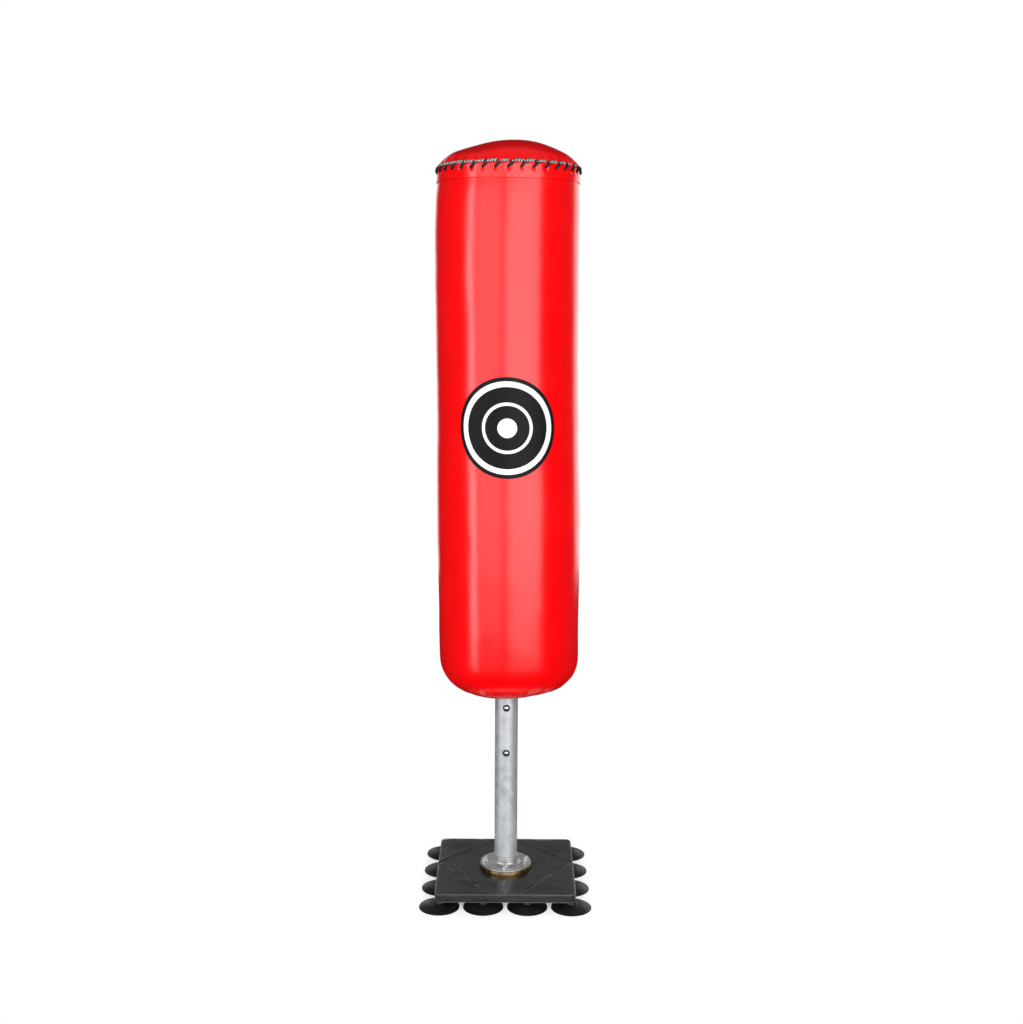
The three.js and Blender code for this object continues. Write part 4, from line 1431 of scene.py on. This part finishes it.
def coil_half(name, low_share, high_share):
    """Part of the swing spring, from one share of its height to another."""
    wire, mean = 0.0055, 0.025
    low, high = spring_lo.z + wire, spring_hi.z - wire
    turns = (high - low) / 0.0116
    path = []
    for t in np.linspace(low_share, high_share, 220):
        a = t * turns * TAU
        path.append((mean * math.cos(a), mean * math.sin(a), low + t * (high - low)))
    obj = sweep(name, path, wire, SPRING, sides=20)
    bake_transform(obj)
    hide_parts("core_spring")


def cut_mesh(bm, point, normal, **options):
    parts = bm.verts[:] + bm.edges[:] + bm.faces[:]
    bmesh.ops.bisect_plane(bm, geom=parts, plane_co=point, plane_no=normal, **options)


def leaf_springs():
    """The bent leaf behind each button, in a front and a back half; the back half rides on the slider."""
    for which, z in button_points():
        node = "button_clip_" + which
        lo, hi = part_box(node)
        source = frame["nodes"][node]
        for half, side in (("front", -1), ("back", 1)):
            bm = bmesh.new()
            bm.from_mesh(source.data)
            bm.transform(source.matrix_world)
            cut_mesh(bm, (0, 0, 0), (0, side, 0), clear_inner=True)
            bmesh.ops.holes_fill(bm, edges=[e for e in bm.edges if e.is_boundary])
            for height in np.linspace(lo.z, hi.z, 40)[1:-1]:
                cut_mesh(bm, (0, 0, height), (0, 0, 1))
            mesh = bpy.data.meshes.new(f"{node}_{half}_leaf")
            bm.to_mesh(mesh)
            bm.free()
            mesh.materials.clear()
            mesh.materials.append(SPRING)
            obj = add_object(mesh.name, mesh)
            if half == "front":
                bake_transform(obj)
            else:
                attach(obj, "slider")
            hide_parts(node)


def spring():
    """The swing spring in two parts that meet at the pivot."""
    middle = (PIVOT.z - spring_lo.z) / (spring_hi.z - spring_lo.z)
    coil_half("spring_lower_turns", 0, middle)
    coil_half("spring_upper_turns", middle, 1)


spacer_ring()
pole_flange()
fasteners()
holed_tube("pole_tube", "pole", POLE_R, 0.0062, (0.0022, 0.0011), POLE, "pole_zinc", "stand")
holed_tube("slider_tube", "inner_tube", SLIDER_R, 0.0060, (0.0008, 0.0002), DRAWN, "slider_zinc", "slider")
snap_buttons()
leaf_springs()
spring()


# ---------------------------------------------------------------- nodes kept from the frame
KEPT = {"base_plate": PAINT, "lower_spring_seat": PAINT, "upper_spring_seat": PAINT, "core_tube": DRAWN}
for name, obj in frame["nodes"].items():
    finish = KEPT.get(name) or (ZINC if name.startswith("cup_screw") else None)
    if finish is not None:
        obj.data.materials.clear()
        obj.data.materials.append(finish)
